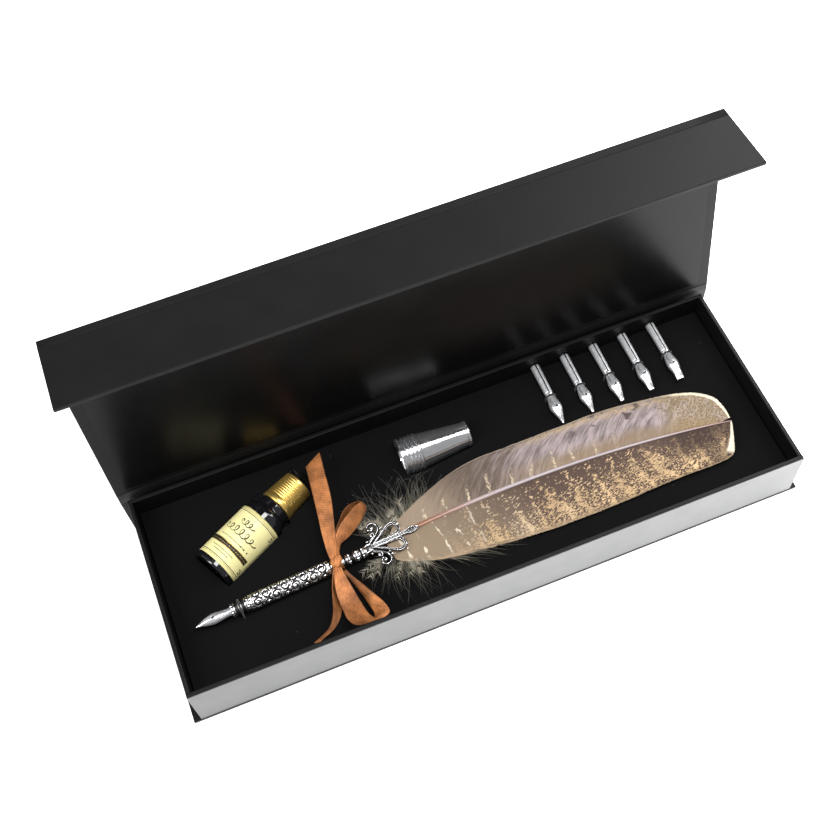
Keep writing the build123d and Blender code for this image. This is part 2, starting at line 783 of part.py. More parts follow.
# Crest: a spear between two drop-shaped loops and two scrolls, on a short root round the quill
crest_low = pen_z + quill_radius + joint_gap
hole_start = 2 * loop_stroke
with BuildPart() as crest:
    with BuildSketch(pen_plan.offset(crest_low)):
        for side in (1, -1):
            with Locations(Location((neck_to + loop_start, side * loop_stroke / 2), side * loop_angle)):
                add(teardrop(loop_stroke / 2, loop_radius, loop_length))
        for side in (1, -1):
            hole_angle = side * radians(loop_angle)
            hole_u = neck_to + loop_start + hole_start * cos(hole_angle)
            hole_v = side * loop_stroke / 2 + hole_start * sin(hole_angle)
            with Locations(Location((hole_u, hole_v), side * loop_angle)):
                hole = teardrop(loop_hole_start, loop_radius - loop_stroke, loop_length - hole_start)
                add(hole, mode=Mode.SUBTRACT)
        for side in (1, -1):
            scroll_u = neck_to + scroll_at
            scroll_v = side * scroll_side
            with BuildLine():
                Line((neck_to, side * loop_stroke), (scroll_u + scroll_radius, scroll_v))
                ThreePointArc(
                    (scroll_u + scroll_radius, scroll_v),
                    (scroll_u, scroll_v + side * scroll_radius),
                    (scroll_u - scroll_radius, scroll_v),
                )
            trace(line_width=scroll_stroke)
            curl_point = (neck_to + curl_at, side * curl_side)
            with Locations((scroll_u - scroll_radius + scroll_ball / 2, scroll_v), curl_point):
                Circle(scroll_ball)
        leaf_from = neck_to + crest_length - leaf_length
        with BuildLine():
            Polyline(
                (neck_to, -spear_half_width),
                (neck_to, spear_half_width),
                (leaf_from, spear_half_width),
                (leaf_from + leaf_length / 3, leaf_half_width),
                (neck_to + crest_length, 0),
                (leaf_from + leaf_length / 3, -leaf_half_width),
                (leaf_from, -spear_half_width),
                close=True,
            )
        make_face()
    extrude(amount=crest_thickness)
    with BuildSketch(pen_side):
        with Locations((neck_to + crest_root_length / 2, (socket_radius + neck_ring_radius) / 2)):
            Rectangle(crest_root_length, neck_ring_radius - socket_radius)
    revolve(axis=pen_axis)
save("crest", crest.part, "crest")

# Quill: a tapering round shaft from the pen's socket to the feather's tip, in straight steps
feather_tip_x = inner_right - feather_right_gap
feather_tip_y = pen_tip_y + feather_tip_rise
socket_point = pen_side.from_local_coords((neck_to - socket_depth + joint_gap, 0, 0))
root_point = pen_side.from_local_coords((neck_to + crest_root_length, 0, 0))
quill_rise = feather_crown_z - vane_thickness / 2 - pen_z


def quill_centre(t):
    """The quill's centre at a share of its length past the crest's root: a shallow arch."""
    x = root_point.X + (feather_tip_x - root_point.X) * t
    y = root_point.Y + (feather_tip_y - root_point.Y) * t + 4 * quill_bow * t * (1 - t)
    return x, y, pen_z + quill_rise * t


with BuildPart() as quill:
    with BuildSketch(Plane(origin=socket_point, z_dir=pen_axis.direction)):
        Circle(quill_radius)
    with BuildSketch(Plane(origin=root_point, z_dir=pen_axis.direction)):
        Circle(quill_radius)
    for i in range(1, quill_steps + 1):
        with BuildSketch(Plane(origin=quill_centre(i / quill_steps), x_dir=(0, 1, 0), z_dir=(1, 0, 0))):
            Circle(quill_radius + (quill_tip_radius - quill_radius) * i / quill_steps)
    loft(ruled=True)
save("quill", quill.part, "quill")


# Edges of the feather: the upper one runs past the spare nibs, the lower one past the front wall
vane_start_x = root_point.X + vane_root_gap
vane_crown_y = pen_tip_y + vane_crown_rise
upper_edge_y = spare_tip_y - feather_nib_gap
lower_edge_y = inner_front + feather_front_gap
upper_edge_from = (vane_start_x + upper_edge_start, upper_edge_y - upper_edge_dip)
upper_edge_to = (feather_tip_x - upper_edge_stop, upper_edge_y - upper_edge_dip)
upper_edge_middle = ((upper_edge_from[0] + upper_edge_to[0]) / 2, upper_edge_y)
upper_foot = (vane_start_x + upper_foot_inset[0], upper_edge_y - upper_foot_inset[1])
upper_tip = (feather_tip_x - upper_tip_inset[0], upper_edge_y - upper_tip_inset[1])
lower_edge_from = (vane_start_x + lower_edge_start_inset[0], lower_edge_y + lower_edge_start_inset[1])
lower_edge_to = (feather_tip_x - lower_edge_stop_inset[0], lower_edge_y + lower_edge_stop_inset[1])
lower_edge_middle = ((lower_edge_from[0] + lower_edge_to[0]) / 2, lower_edge_y)
lower_foot = (vane_start_x + lower_foot_inset[0], lower_edge_y + lower_foot_inset[1])
lower_foot_end = (vane_start_x, lower_edge_y + lower_foot_rise)
lower_tip = (feather_tip_x - lower_tip_inset[0], lower_edge_y + lower_tip_inset[1])


def vane(outline):
    """One side of the feather: its outline cut from a thin arched sheet, clear of the quill."""
    camber_low = feather_crown_z - vane_camber
    with BuildPart() as half:
        with BuildSketch(Plane.YZ.offset(vane_start_x - vane_thickness)):
            with Locations((vane_crown_y, camber_low)):
                Circle(vane_camber)
                Circle(vane_camber - vane_thickness, mode=Mode.SUBTRACT)
        extrude(amount=feather_tip_x - vane_start_x + 2 * vane_thickness)
        extrude(outline, amount=2 * feather_crown_z, dir=(0, 0, 1), mode=Mode.INTERSECT)
        add(quill.part, mode=Mode.SUBTRACT)
    return half.part


tip_point = (feather_tip_x - vane_thickness, feather_tip_y)
start_t = (vane_start_x - root_point.X) / (feather_tip_x - root_point.X)
vane_root = quill_centre(start_t)[:2]
vane_middle = quill_centre(0.5)[:2]
with BuildSketch() as upper_outline:
    with BuildLine():
        ThreePointArc(vane_root, vane_middle, tip_point)
        ThreePointArc(tip_point, upper_tip, upper_edge_to)
        ThreePointArc(upper_edge_to, upper_edge_middle, upper_edge_from)
        ThreePointArc(upper_edge_from, upper_foot, vane_root)
    make_face()
with BuildSketch() as lower_outline:
    with BuildLine():
        ThreePointArc(vane_root, vane_middle, tip_point)
        ThreePointArc(tip_point, lower_tip, lower_edge_to)
        ThreePointArc(lower_edge_to, lower_edge_middle, lower_edge_from)
        ThreePointArc(lower_edge_from, lower_foot, lower_foot_end)
        Line(lower_foot_end, vane_root)
    make_face()
save("upper_vane", vane(upper_outline.sketch), "upper_vane")
save("lower_vane", vane(lower_outline.sketch), "lower_vane")

# Down: two flat lobes under the foot of the feather, the back one clear of the stand
back_down_low = pen_tip_y + back_down_rise
back_down_high = stand_y - stand_mouth_radius - down_stand_gap
with BuildPart() as down_tuft:
    with BuildSketch(Plane.XY.offset(down_top - down_thickness)):
        with Locations((vane_start_x + back_down_start, (back_down_low + back_down_high) / 2)):
            Ellipse(back_down_radius, (back_down_high - back_down_low) / 2)
        with Locations((vane_start_x + front_down_start, pen_tip_y - front_down_drop)):
            Ellipse(*front_down_radii)
    extrude(amount=down_thickness)
    add(quill.part, mode=Mode.SUBTRACT)
save("down_tuft", down_tuft.part, "down_tuft")

# Ribbon bow: a wrap round the waist, a knot on it, two loops and two tails, all of one ribbon
knot_at = barrel_to + waist_length / 2
knot_point = pen_side.from_local_coords((knot_at, 0, 0))
back_tail_length = (inner_back - back_tail_gap - knot_point.Y) / sin(radians(back_tail_angle))
knot_plan = Plane(origin=(knot_point.X, knot_point.Y, 0), x_dir=pen_axis.direction, z_dir=(0, 0, 1))
wrap_radius = waist_radius + knot_gap
over_bead = barrel_end_radius + rest_gap + ribbon_thickness
loops = ((front_loop_angle, front_loop_reach), (back_loop_angle, back_loop_reach))
tails = (
    (back_tail_angle, back_tail_length, over_bead, ribbon_width),
    (front_tail_angle, front_tail_length, -loop_drop, front_tail_width),
)
with BuildPart() as ribbon_bow:
    with BuildSketch(pen_side):
        with Locations((knot_at, wrap_radius + ribbon_thickness / 2)):
            Rectangle(knot_length, ribbon_thickness)
    revolve(axis=pen_axis)
    with BuildSketch(knot_plan.offset(pen_z + wrap_radius)):
        RectangleRounded(knot_length, knot_width, knot_length / 3)
    extrude(amount=knot_top - pen_z - wrap_radius)
    for loop_turn, loop_reach in loops:
        with BuildSketch(side_plane(knot_point.X, knot_point.Y, pen_z, loop_turn)):
            bend = (over_bead + ribbon_thickness + loop_drop) / 2
            bend_at = loop_reach - bend
            with BuildLine():
                Line((0, over_bead + ribbon_thickness), (bend_at, over_bead + ribbon_thickness))
                ThreePointArc(
                    (bend_at, over_bead + ribbon_thickness),
                    (loop_reach, over_bead + ribbon_thickness - bend),
                    (bend_at, -loop_drop),
                )
                Line((bend_at, -loop_drop), (knot_width, over_bead - ribbon_thickness / 2))
                Line((knot_width, over_bead - ribbon_thickness / 2), (0, over_bead - ribbon_thickness / 2))
            trace(line_width=ribbon_thickness)
        extrude(amount=ribbon_width / 2, both=True)
    for tail_turn, tail_length, tail_end, tail_width in tails:
        with BuildSketch(side_plane(knot_point.X, knot_point.Y, pen_z, tail_turn)):
            with BuildLine():
                Line((0, over_bead), (knot_width, over_bead))
                Line((knot_width, over_bead), (tail_length, tail_end))
            trace(line_width=ribbon_thickness)
        extrude(amount=tail_width / 2, both=True)
save("ribbon_bow", ribbon_bow.part, "ribbon_bow")
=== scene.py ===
import bisect
import json
import random
from math import atan2, cos, exp, floor, hypot, pi, radians, sin, sqrt

import bmesh
import bpy
from bpy.props import FloatProperty, FloatVectorProperty, IntProperty, PointerProperty
from mathutils import Matrix, Vector


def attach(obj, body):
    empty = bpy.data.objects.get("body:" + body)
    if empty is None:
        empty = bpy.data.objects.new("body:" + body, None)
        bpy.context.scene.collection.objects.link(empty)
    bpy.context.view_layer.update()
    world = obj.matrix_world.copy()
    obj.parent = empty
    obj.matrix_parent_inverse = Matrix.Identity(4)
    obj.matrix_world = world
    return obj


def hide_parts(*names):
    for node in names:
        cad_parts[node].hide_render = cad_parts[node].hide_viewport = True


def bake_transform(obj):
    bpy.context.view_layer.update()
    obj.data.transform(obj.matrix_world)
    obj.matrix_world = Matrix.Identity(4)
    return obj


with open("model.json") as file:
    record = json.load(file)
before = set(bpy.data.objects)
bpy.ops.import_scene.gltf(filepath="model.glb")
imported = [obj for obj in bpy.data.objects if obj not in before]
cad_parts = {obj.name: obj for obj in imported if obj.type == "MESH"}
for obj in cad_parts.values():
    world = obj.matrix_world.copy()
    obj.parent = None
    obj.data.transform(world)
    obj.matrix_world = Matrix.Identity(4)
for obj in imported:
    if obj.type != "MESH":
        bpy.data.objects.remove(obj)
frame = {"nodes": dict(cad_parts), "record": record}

bl_info = {
    "name": "Quill pen gift box",
    "version": (1, 0, 0),
    "blender": (4, 5, 0),
    "location": "View3D > Sidebar > Quill Box",
    "description": "Dresses an open gift box with a feather quill pen, ink bottle, pen stand and spare nibs",
    "category": "Object",
}

# Forms are modelled in millimetres and brought to metres when they become objects
TO_METRES = Matrix.Scale(0.001, 4)
UP = Vector((0, 0, 1))
MERGE_DISTANCE = 0.0008
CARD_TOP = 22.5

record_colours = {m["slot"]: tuple(m["base_color"][:3]) for m in frame["record"]["materials"]}


def colour(name, about, default):
    """A colour that a user may change."""
    return FloatVectorProperty(name=name, description=about, subtype="COLOR", size=3, min=0, max=1, default=default)


def length(name, about, default):
    """A length in millimetres that a user may change."""
    return FloatProperty(name=name, description=about, default=default, min=0, unit="NONE")


class CaseSettings(bpy.types.PropertyGroup):
    paper_colour: colour("Paper", "Black paper that covers the boards", (0.006, 0.006, 0.0064))
    lining_colour: colour("Lining", "Smooth paper inside the lid and flap", (0.0036, 0.0036, 0.0035))
    flock_colour: colour("Flock", "Flocked card that the things lie on", (0.0042, 0.0041, 0.0043))
    paper_grain: length("Paper grain", "Size of the paper's grain in millimetres", 0.35)


class FeatherSettings(bpy.types.PropertyGroup):
    barbs: IntProperty(name="Barbs a side", description="Barbs in each vane", default=520, min=50, max=900)
    barb_rows: IntProperty(name="Rows", description="Faces along one barb", default=9, min=4, max=16)
    tan_colour: colour("Tan", "Foot of the feather", (0.27, 0.205, 0.14))
    brown_colour: colour("Brown", "Dark ground of the lower vane", (0.085, 0.055, 0.046))
    gold_colour: colour("Gold", "Dashes towards the tip", (0.74, 0.52, 0.29))
    cream_colour: colour("Cream", "Band round the tip", (0.80, 0.72, 0.56))
    lilac_colour: colour("Lilac", "Sheen of the upper vane", (0.345, 0.285, 0.285))
    strands: IntProperty(name="Down strands", description="Long strands in the down", default=360, min=20, max=900)


class PenSettings(bpy.types.PropertyGroup):
    relief_height: length("Relief", "Height of the barrel's scrollwork in millimetres", 0.42)
    silver_colour: colour("Silver", "Raised silver", (0.86, 0.86, 0.88))
    hollow_colour: colour("Hollows", "Darkened silver in the hollows", (0.045, 0.042, 0.042))
    steel_colour: colour("Steel", "Polished steel of the nibs and stand", (0.86, 0.87, 0.89))


class RibbonSettings(bpy.types.PropertyGroup):
    satin_colour: colour("Satin", "Copper satin", (0.40, 0.152, 0.05))
    width: length("Width", "Width that the ribbon is cut to, in millimetres", 10.0)
    thickness: length("Thickness", "Thickness of the ribbon in millimetres", 0.22)


class BottleSettings(bpy.types.PropertyGroup):
    label_colour: colour("Label", "Pale yellow label paper", (0.84, 0.77, 0.37))
    print_colour: colour("Print", "Dark print on the label", (0.02, 0.018, 0.01))
    gold_colour: colour("Cap", "Gold cap", (0.93, 0.62, 0.17))


class StageSettings(bpy.types.PropertyGroup):
    floor_glow: FloatProperty(name="Floor glow", description="Light that the pale floor gives off", default=1.1, min=0)
    key_power: FloatProperty(name="Overhead light", description="Power of the overhead light", default=14.0, min=0,
                             unit="POWER")
    world_light: FloatProperty(name="Room light", description="Strength of the light all round", default=0.3, min=0)


# Smooth lines and small sums


def between(table, x):
    """Reads a value off a table of (x, value) pairs, in straight steps."""
    for (x0, y0), (x1, y1) in zip(table, table[1:]):
        if x <= x1:
            return y0 + (y1 - y0) * max(0.0, (x - x0) / (x1 - x0))
    return table[-1][1]


def ease(x, low, high):
    """Rises smoothly from 0 at low to 1 at high."""
    t = min(1.0, max(0.0, (x - low) / (high - low)))
    return t * t * (3 - 2 * t)


class Line:
    """A smooth line through points, read off at any share of its length."""

    def __init__(self, points, steps=14):
        knots = [Vector(p) for p in points]
        knots = [2 * knots[0] - knots[1]] + knots + [2 * knots[-1] - knots[-2]]
        self.points = []
        for a, b, c, d in zip(knots, knots[1:], knots[2:], knots[3:]):
            for i in range(steps):
                t = i / steps
                self.points.append(0.5 * (2 * b + (c - a) * t + (2 * a - 5 * b + 4 * c - d) * t ** 2
                                          + (3 * b - a - 3 * c + d) * t ** 3))
        self.points.append(knots[-2])
        self.marks = [0.0]
        for a, b in zip(self.points, self.points[1:]):
            self.marks.append(self.marks[-1] + (b - a).length)
        self.length = self.marks[-1]

    def at(self, share):
        """The point at a share of the length, from 0 to 1."""
        goal = min(1.0, max(0.0, share)) * self.length
        i = min(len(self.points) - 2, max(0, bisect.bisect_right(self.marks, goal) - 1))
        step = self.marks[i + 1] - self.marks[i]
        return self.points[i].lerp(self.points[i + 1], (goal - self.marks[i]) / step if step else 0.0)

    def way(self, share):
        """The direction at a share of the length."""
        return (self.at(min(1.0, share + 0.01)) - self.at(max(0.0, share - 0.01))).normalized()


# Forms


def new_form():
    """An empty form with a UV map."""
    form = bmesh.new()
    form.loops.layers.uv.new("UVMap")
    return form


def sheet_of(form, columns, rows, place, uv_size=(1.0, 1.0)):
    """A grid whose points go where place(across, along) says, both from 0 to 1."""
    made = bmesh.ops.create_grid(form, x_segments=columns, y_segments=rows, size=0.5, calc_uvs=True)
    uv = form.loops.layers.uv.active
    if uv_size != (1.0, 1.0):
        for face in {face for vert in made["verts"] for face in vert.link_faces}:
            for loop in face.loops:
                loop[uv].uv = (loop[uv].uv.x * uv_size[0], loop[uv].uv.y * uv_size[1])
    for vert in made["verts"]:
        vert.co = place(vert.co.x + 0.5, vert.co.y + 0.5)
    return made["verts"]


def strips_of(form, count, faces, rows, place):
    """Separate strips, each some faces wide, set out by place(strip, across, along)."""
    pitch = faces + 1
    columns = pitch * count - 1
    made = bmesh.ops.create_grid(form, x_segments=columns, y_segments=rows, size=0.5, calc_uvs=True)
    between_strips = [face for face in {f for v in made["verts"] for f in v.link_faces}
                      if floor((face.calc_center_median().x + 0.5) * columns) % pitch == faces]
    for vert in made["verts"]:
        column = round((vert.co.x + 0.5) * columns)
        vert.co = place(column // pitch, (column % pitch) / faces, vert.co.y + 0.5)
    bmesh.ops.delete(form, geom=between_strips, context="FACES")


def strand_point(line, radius, across, along, flat=1.0):
    """A point on the skin of a round strand along a line."""
    way = line.way(along)
    side = way.cross(UP).normalized()
    over = side.cross(way)
    size = radius(along) if callable(radius) else radius
    turn = 2 * pi * across
    return line.at(along) + side * (size * cos(turn)) + over * (size * flat * sin(turn))


def strand_of(form, points, radius, sides=10, rows=40, flat=1.0):
    """A round strand along a smooth line through points."""
    line = Line(points)
    sheet_of(form, sides, rows, lambda across, along: strand_point(line, radius, across, along, flat))


def bead_of(form, centre, radius, flat=1.0):
    """A small round bead."""
    bmesh.ops.create_uvsphere(form, u_segments=8, v_segments=6, radius=radius,
                              matrix=Matrix.Translation(centre) @ Matrix.Diagonal((1, 1, flat, 1)))


def face_out(form):
    """Turns the faces outwards."""
    bmesh.ops.recalc_face_normals(form, faces=form.faces)


def close_up(form):
    """Joins doubled points, closes open ends and turns the faces outwards."""
    bmesh.ops.remove_doubles(form, verts=form.verts, dist=MERGE_DISTANCE)
    rims = [edge for edge in form.edges if edge.is_boundary]
    if rims:
        bmesh.ops.holes_fill(form, edges=rims, sides=0)
    face_out(form)


def turned_form(profile, steps=96, ring=False):
    """A form turned about X from a profile of (along, radius) points."""
    form = new_form()
    verts = [form.verts.new((u, 0, r)) for u, r in profile]
    pairs = list(zip(verts, verts[1:])) + ([(verts[-1], verts[0])] if ring else [])
    edges = [form.edges.new(pair) for pair in pairs]
    bmesh.ops.spin(form, geom=verts + edges, cent=(0, 0, 0), axis=(1, 0, 0), dvec=(0, 0, 0), angle=2 * pi,
                   steps=steps, use_merge=True, use_duplicate=False)
    return form


def soften(profile, size, ring=False):
    """Rounds the corners of a profile with three points each."""
    points = [Vector(p) for p in profile]
    out = []
    for i, here in enumerate(points):
        if not ring and i in (0, len(points) - 1):
            out.append(tuple(here))
            continue
        before, after = points[i - 1], points[(i + 1) % len(points)]
        a = here + (before - here).normalized() * min(size, (before - here).length / 2.2)
        b = here + (after - here).normalized() * min(size, (after - here).length / 2.2)
        out += [tuple(a), tuple((a + b) / 4 + here / 2), tuple(b)]
    return out


def emboss(form, relief, height, core=0.5):
    """Raises a turned form, outside its core, by relief(along, turn) and keeps that relief for its finish."""
    layer = form.verts.layers.float.new("relief")
    for vert in form.verts:
        amount = relief(vert.co.x, atan2(vert.co.z, vert.co.y))
        vert[layer] = amount
        radius = hypot(vert.co.y, vert.co.z)
        if radius > core:
            scale = (radius + height * (amount - 1)) / radius
            vert.co.y *= scale
            vert.co.z *= scale


def mesh_of(form, name, material):
    """Makes a form a mesh with its material."""
    mesh = bpy.data.meshes.new(name)
    form.to_mesh(mesh)
    form.free()
    mesh.materials.append(material)
    return mesh


def add(name, data):
    """Puts a mesh, light or camera into the scene."""
    obj = bpy.data.objects.new(name, data)
    bpy.context.scene.collection.objects.link(obj)
    return obj


def piece(form, name, material, body, place=None, replaces=(), shell=0.0):
    """Makes a form a finished piece that rides on a body, if one is given."""
    form.transform(TO_METRES @ (place or Matrix()))
    mesh = mesh_of(form, name, material)
    mesh.shade_smooth()
    obj = add(name, mesh)
    if shell:
        wall = obj.modifiers.new("Thickness", "SOLIDIFY")
        wall.thickness = shell / 1000
        wall.offset = 0
    if body:
        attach(obj, body)
    if replaces:
        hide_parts(*replaces)
    return obj


def lying(x, y, z, angle):
    """Lays a form made along X on a level line from a point."""
    return Matrix.Translation((x, y, z)) @ Matrix.Rotation(radians(angle), 4, "Z")


# Finishes


class Value:
    """A number or colour in a material's nodes, which sums can be written with."""

    def __init__(self, look, socket):
        self.look = look
        self.socket = socket

    def sum(self, operation, other=0.0, third=0.0):
        return self.look.value("Math", {0: self, 1: other, 2: third}, operation=operation)

    def __add__(self, other):
        return self.sum("ADD", other)

    def __sub__(self, other):
        return self.sum("SUBTRACT", other)

    def __mul__(self, other):
        return self.sum("MULTIPLY", other)

    def __rsub__(self, other):
        return self.sum("MULTIPLY_ADD", -1.0, other)

    def rise(self, low, high):
        """Rises smoothly from 0 to 1 between two values."""
        return self.look.value("MapRange", {0: self, 1: low, 2: high}, interpolation_type="SMOOTHSTEP")


class Look:
    """A material, with short ways to add nodes to it."""

    def __init__(self, name, **sockets):
        self.material = bpy.data.materials.new(name)
        self.material.use_nodes = True
        self.tree = self.material.node_tree
        self.shader = self.tree.nodes["Principled BSDF"]
        for socket, value in sockets.items():
            self.shader.inputs[socket.replace("_", " ")].default_value = value

    def node(self, kind, inputs=None, **settings):
        node = self.tree.nodes.new("ShaderNode" + kind)
        for key, value in settings.items():
            setattr(node, key, value)
        for key, value in (inputs or {}).items():
            if isinstance(value, Value):
                self.tree.links.new(value.socket, node.inputs[key])
            else:
                node.inputs[key].default_value = value
        return node

    def value(self, kind, inputs=None, output=0, **settings):
        return Value(self, self.node(kind, inputs, **settings).outputs[output])

    def place(self, source="Object"):
        return self.value("TexCoord", output=source)

    def parts(self, vector):
        split = self.node("SeparateXYZ", {0: vector})
        return [Value(self, split.outputs[i]) for i in range(3)]

    def stretched(self, vector, scale=(1, 1, 1), turn=0.0):
        """Draws a pattern out along a way that is turned about Z from X."""
        return self.value("Mapping", {"Vector": vector, "Scale": scale, "Rotation": (0, 0, radians(turn))},
                          vector_type="TEXTURE")

    def noise(self, scale, detail=2.0, vector=None, rough=0.5):
        return self.value("TexNoise", {"Vector": vector or self.place(), "Scale": scale, "Detail": detail,
                                       "Roughness": rough})

    def drawn(self, scale, detail, vector, stretch, turn):
        """Noise that is drawn out along a way that is turned about Z from X."""
        return self.noise(scale, detail, self.stretched(vector, (stretch, 1, 1), turn))

    def cells(self, scale):
        return self.value("TexVoronoi", {"Vector": self.place(), "Scale": scale})

    def mix(self, factor, first, second):
        first, second = ((*c, 1) if isinstance(c, tuple) else c for c in (first, second))
        return self.value("Mix", {0: factor, 6: first, 7: second}, output=2, data_type="RGBA")

    def layers(self, ground, *layers):
        """Lays colours over a ground, each by its own factor."""
        for factor, over in layers:
            ground = self.mix(factor, ground, over)
        return ground

    def paint(self, factor, first, second):
        self.give("Base Color", self.mix(factor, first, second))

    def bump(self, height, depth, strength=1.0):
        normal = self.value("Bump", {"Strength": strength, "Distance": depth / 1000, "Height": height})
        self.give("Normal", normal)

    def give(self, socket, value):
        self.tree.links.new(value.socket, self.shader.inputs[socket])


def kept(make):
    """Makes a finish once, and gives the same one when it is asked for again."""
    made = {}

    def get(*values):
        values = tuple(v if isinstance(v, (str, int, float)) else tuple(v) for v in values)
        if values not in made:
            made[values] = make(*values)
        return made[values]
    return get


def shade(base, factor):
    """A darker or lighter shade of a colour."""
    return tuple(min(1.0, c * factor) for c in base)


def shades(base, low, high):
    """Two shades of a colour."""
    return shade(base, low), shade(base, high)


@kept
def covering_paper(name, base, roughness, grain, depth):
    """Black paper with a fine grain, a little uneven in tone and gloss."""
    look = Look(name, IOR=1.5, Specular_IOR_Level=0.17)
    fine = look.noise(1000 / grain, 3.0)
    soft = look.noise(60.0, 3.0)
    dark, light = shades(base, 0.75, 1.5)
    look.paint(soft * 0.6 + fine * 0.4, dark, light)
    look.give("Roughness", (fine - 0.5) * 0.12 + (soft - 0.5) * 0.1 + roughness)
    look.bump(fine + look.noise(280.0 / grain) * 0.5, depth)
    return look.material


@kept
def front_paper_with_painted_reflection(base):
    """The satin paper on the tray's front, which takes the light of the floor; its colour, paler and bluer than the
    black covering paper, is a painted reflection of the floor's light.
    """
    look = Look("front satin paper with painted reflection", IOR=2.1)
    fine = look.noise(2600.0, 3.0)
    dark, light = shades(base, 0.9, 1.6)
    # Painted reflection: the lighter shade is tinted blue to stand for the floor's light on the paper
    look.paint(fine, dark, (light[0], light[1] * 1.1, light[2] * 1.25))
    look.give("Roughness", (look.noise(90.0, 4.0) - 0.5) * 0.14 + 0.36)
    look.bump(fine, 0.012)
    return look.material


@kept
def flock(base):
    """Black flock with a short nap and a few specks of lint."""
    look = Look("black flock", Roughness=1.0, Specular_IOR_Level=0.03, Sheen_Weight=0.02, Sheen_Roughness=0.6)
    nap = look.noise(3200.0, 2.0)
    patch = look.noise(26.0, 3.0)
    dark, light = shades(base, 0.55, 1.7)
    ground = look.mix(nap * 0.7 + patch * 0.3, dark, light)
    spot = 1.0 - look.cells(330.0).rise(0.05, 0.10)
    rare = look.noise(120.0, 1.0).rise(0.66, 0.70)
    look.paint(spot * rare * 0.3, ground, (0.16, 0.16, 0.16))
    look.bump(nap, 0.2)
    return look.material


@kept
def plain_foam(base):
    """Dark open foam."""
    look = Look("black foam", Roughness=0.95)
    pores = look.cells(1600.0)
    look.paint(pores.rise(0.0, 0.6), *shades(base, 0.4, 1.6))
    look.bump(pores, 0.2)
    return look.material


@kept
def magnet_steel():
    """Metal with fine streaks along one way."""
    look = Look("magnet steel", Metallic=1.0, IOR=1.5)
    line = look.noise(900.0, 2.0, look.stretched(look.place(), (1, 1, 20)))
    soft = look.noise(150.0, 2.0)
    look.paint(soft, *shades((0.5, 0.5, 0.51), 0.88, 1.1))
    look.give("Roughness", (line - 0.5) * 0.16 + 0.3)
    look.bump(line, 0.004)
    return look.material


@kept
def elastic():
    """Covered elastic cord."""
    look = Look("black elastic", Roughness=0.8, Sheen_Weight=0.2)
    weave = look.cells(4200.0)
    look.paint(weave, (0.006, 0.006, 0.006), (0.03, 0.03, 0.032))
    look.bump(weave, 0.06)
    return look.material


@kept
def polished_steel(base):
    """Polished steel with faint haze and rubbing."""
    look = Look("polished steel", Metallic=0.93, IOR=2.5)
    haze = look.noise(420.0, 3.0)
    look.paint(haze, *shades(base, 0.93, 1.05))
    look.give("Roughness", haze.rise(0.45, 0.8) * 0.1 + 0.1)
    look.bump(look.noise(140.0, 2.0), 0.012)
    return look.material


@kept
def nib_steel(base):
    """Polished steel with the slit, hole and seam of a pressed nib, and painted shade in its pressed leaf pattern, on
    the nib's own UV map.
    """
    look = Look("nib steel", Metallic=0.7, IOR=2.5)
    across, along, _ = look.parts(look.place("UV"))
    off = (across - 0.5).sum("ABSOLUTE")
    blade = 1.0 - along.rise(0.49, 0.492)
    slit = (1.0 - off.rise(0.010, 0.016)) * (1.0 - along.rise(0.235, 0.24))
    hole_x = off * 8.4
    hole_y = (along - 0.25) * 34.4
    reach = (hole_x * hole_x + hole_y * hole_y).sum("SQRT")
    hole = 1.0 - reach.rise(0.62, 0.7)
    seam = (1.0 - across.rise(0.012, 0.02)) * along.rise(0.492, 0.494)
    # The pressed leaf pattern is painted nearly black: painted shade in its pressed lines
    leaf_y = (along - 0.36) * 34.4
    petal = (off * 7.0 - (leaf_y * leaf_y * -0.22 + 1.5)).sum("ABSOLUTE")
    pressed = (1.0 - petal.rise(0.10, 0.28)) * blade * along.rise(0.30, 0.31)
    # dark joins the real slit, hole and seam with the painted shade of the pressed pattern
    dark = slit.sum("MAXIMUM", hole).sum("MAXIMUM", seam).sum("MAXIMUM", pressed * 0.85)
    shade = look.noise(500.0, 3.0)
    metal = look.mix(shade, *shades(base, 0.9, 1.06))
    look.paint(dark, metal, (0.012, 0.012, 0.014))
    look.give("Roughness", shade * 0.10 + dark * 0.4 + along.rise(0.48, 0.5) * 0.16 + 0.15)
    look.bump((dark + pressed * 0.6) * -1.0, 0.045)
    return look.material


@kept
def antique_silver(raised, hollow):
    """Cast silver, bright where it is rubbed and dark in its hollows."""
    look = Look("antique silver", Metallic=1.0, IOR=2.0)
    relief = look.value("Attribute", attribute_name="relief", output="Fac")
    wear = look.noise(700.0, 4.0, rough=0.6)
    bright = (relief + (wear - 0.5) * 0.3).rise(0.16, 0.5)
    look.paint(bright, hollow, raised)
    look.give("Roughness", wear * 0.18 + (1.0 - bright) * 0.35 + 0.10)
    look.bump(wear, 0.05)
    return look.material


@kept
def dark_glass():
    """Glossy near-black glass."""
    look = Look("dark glass", Roughness=0.03, IOR=1.52, Coat_Weight=0.6, Coat_Roughness=0.03)
    swirl = look.noise(40.0, 2.0)
    look.paint(swirl, (0.003, 0.003, 0.004), (0.010, 0.010, 0.013))
    look.bump(swirl, 0.25, 0.5)
    return look.material


@kept
def still_ink():
    """Ink with a wet face."""
    look = Look("black ink", Roughness=0.04, IOR=1.34)
    look.paint(look.noise(60.0), (0.002, 0.002, 0.004), (0.006, 0.006, 0.012))
    return look.material


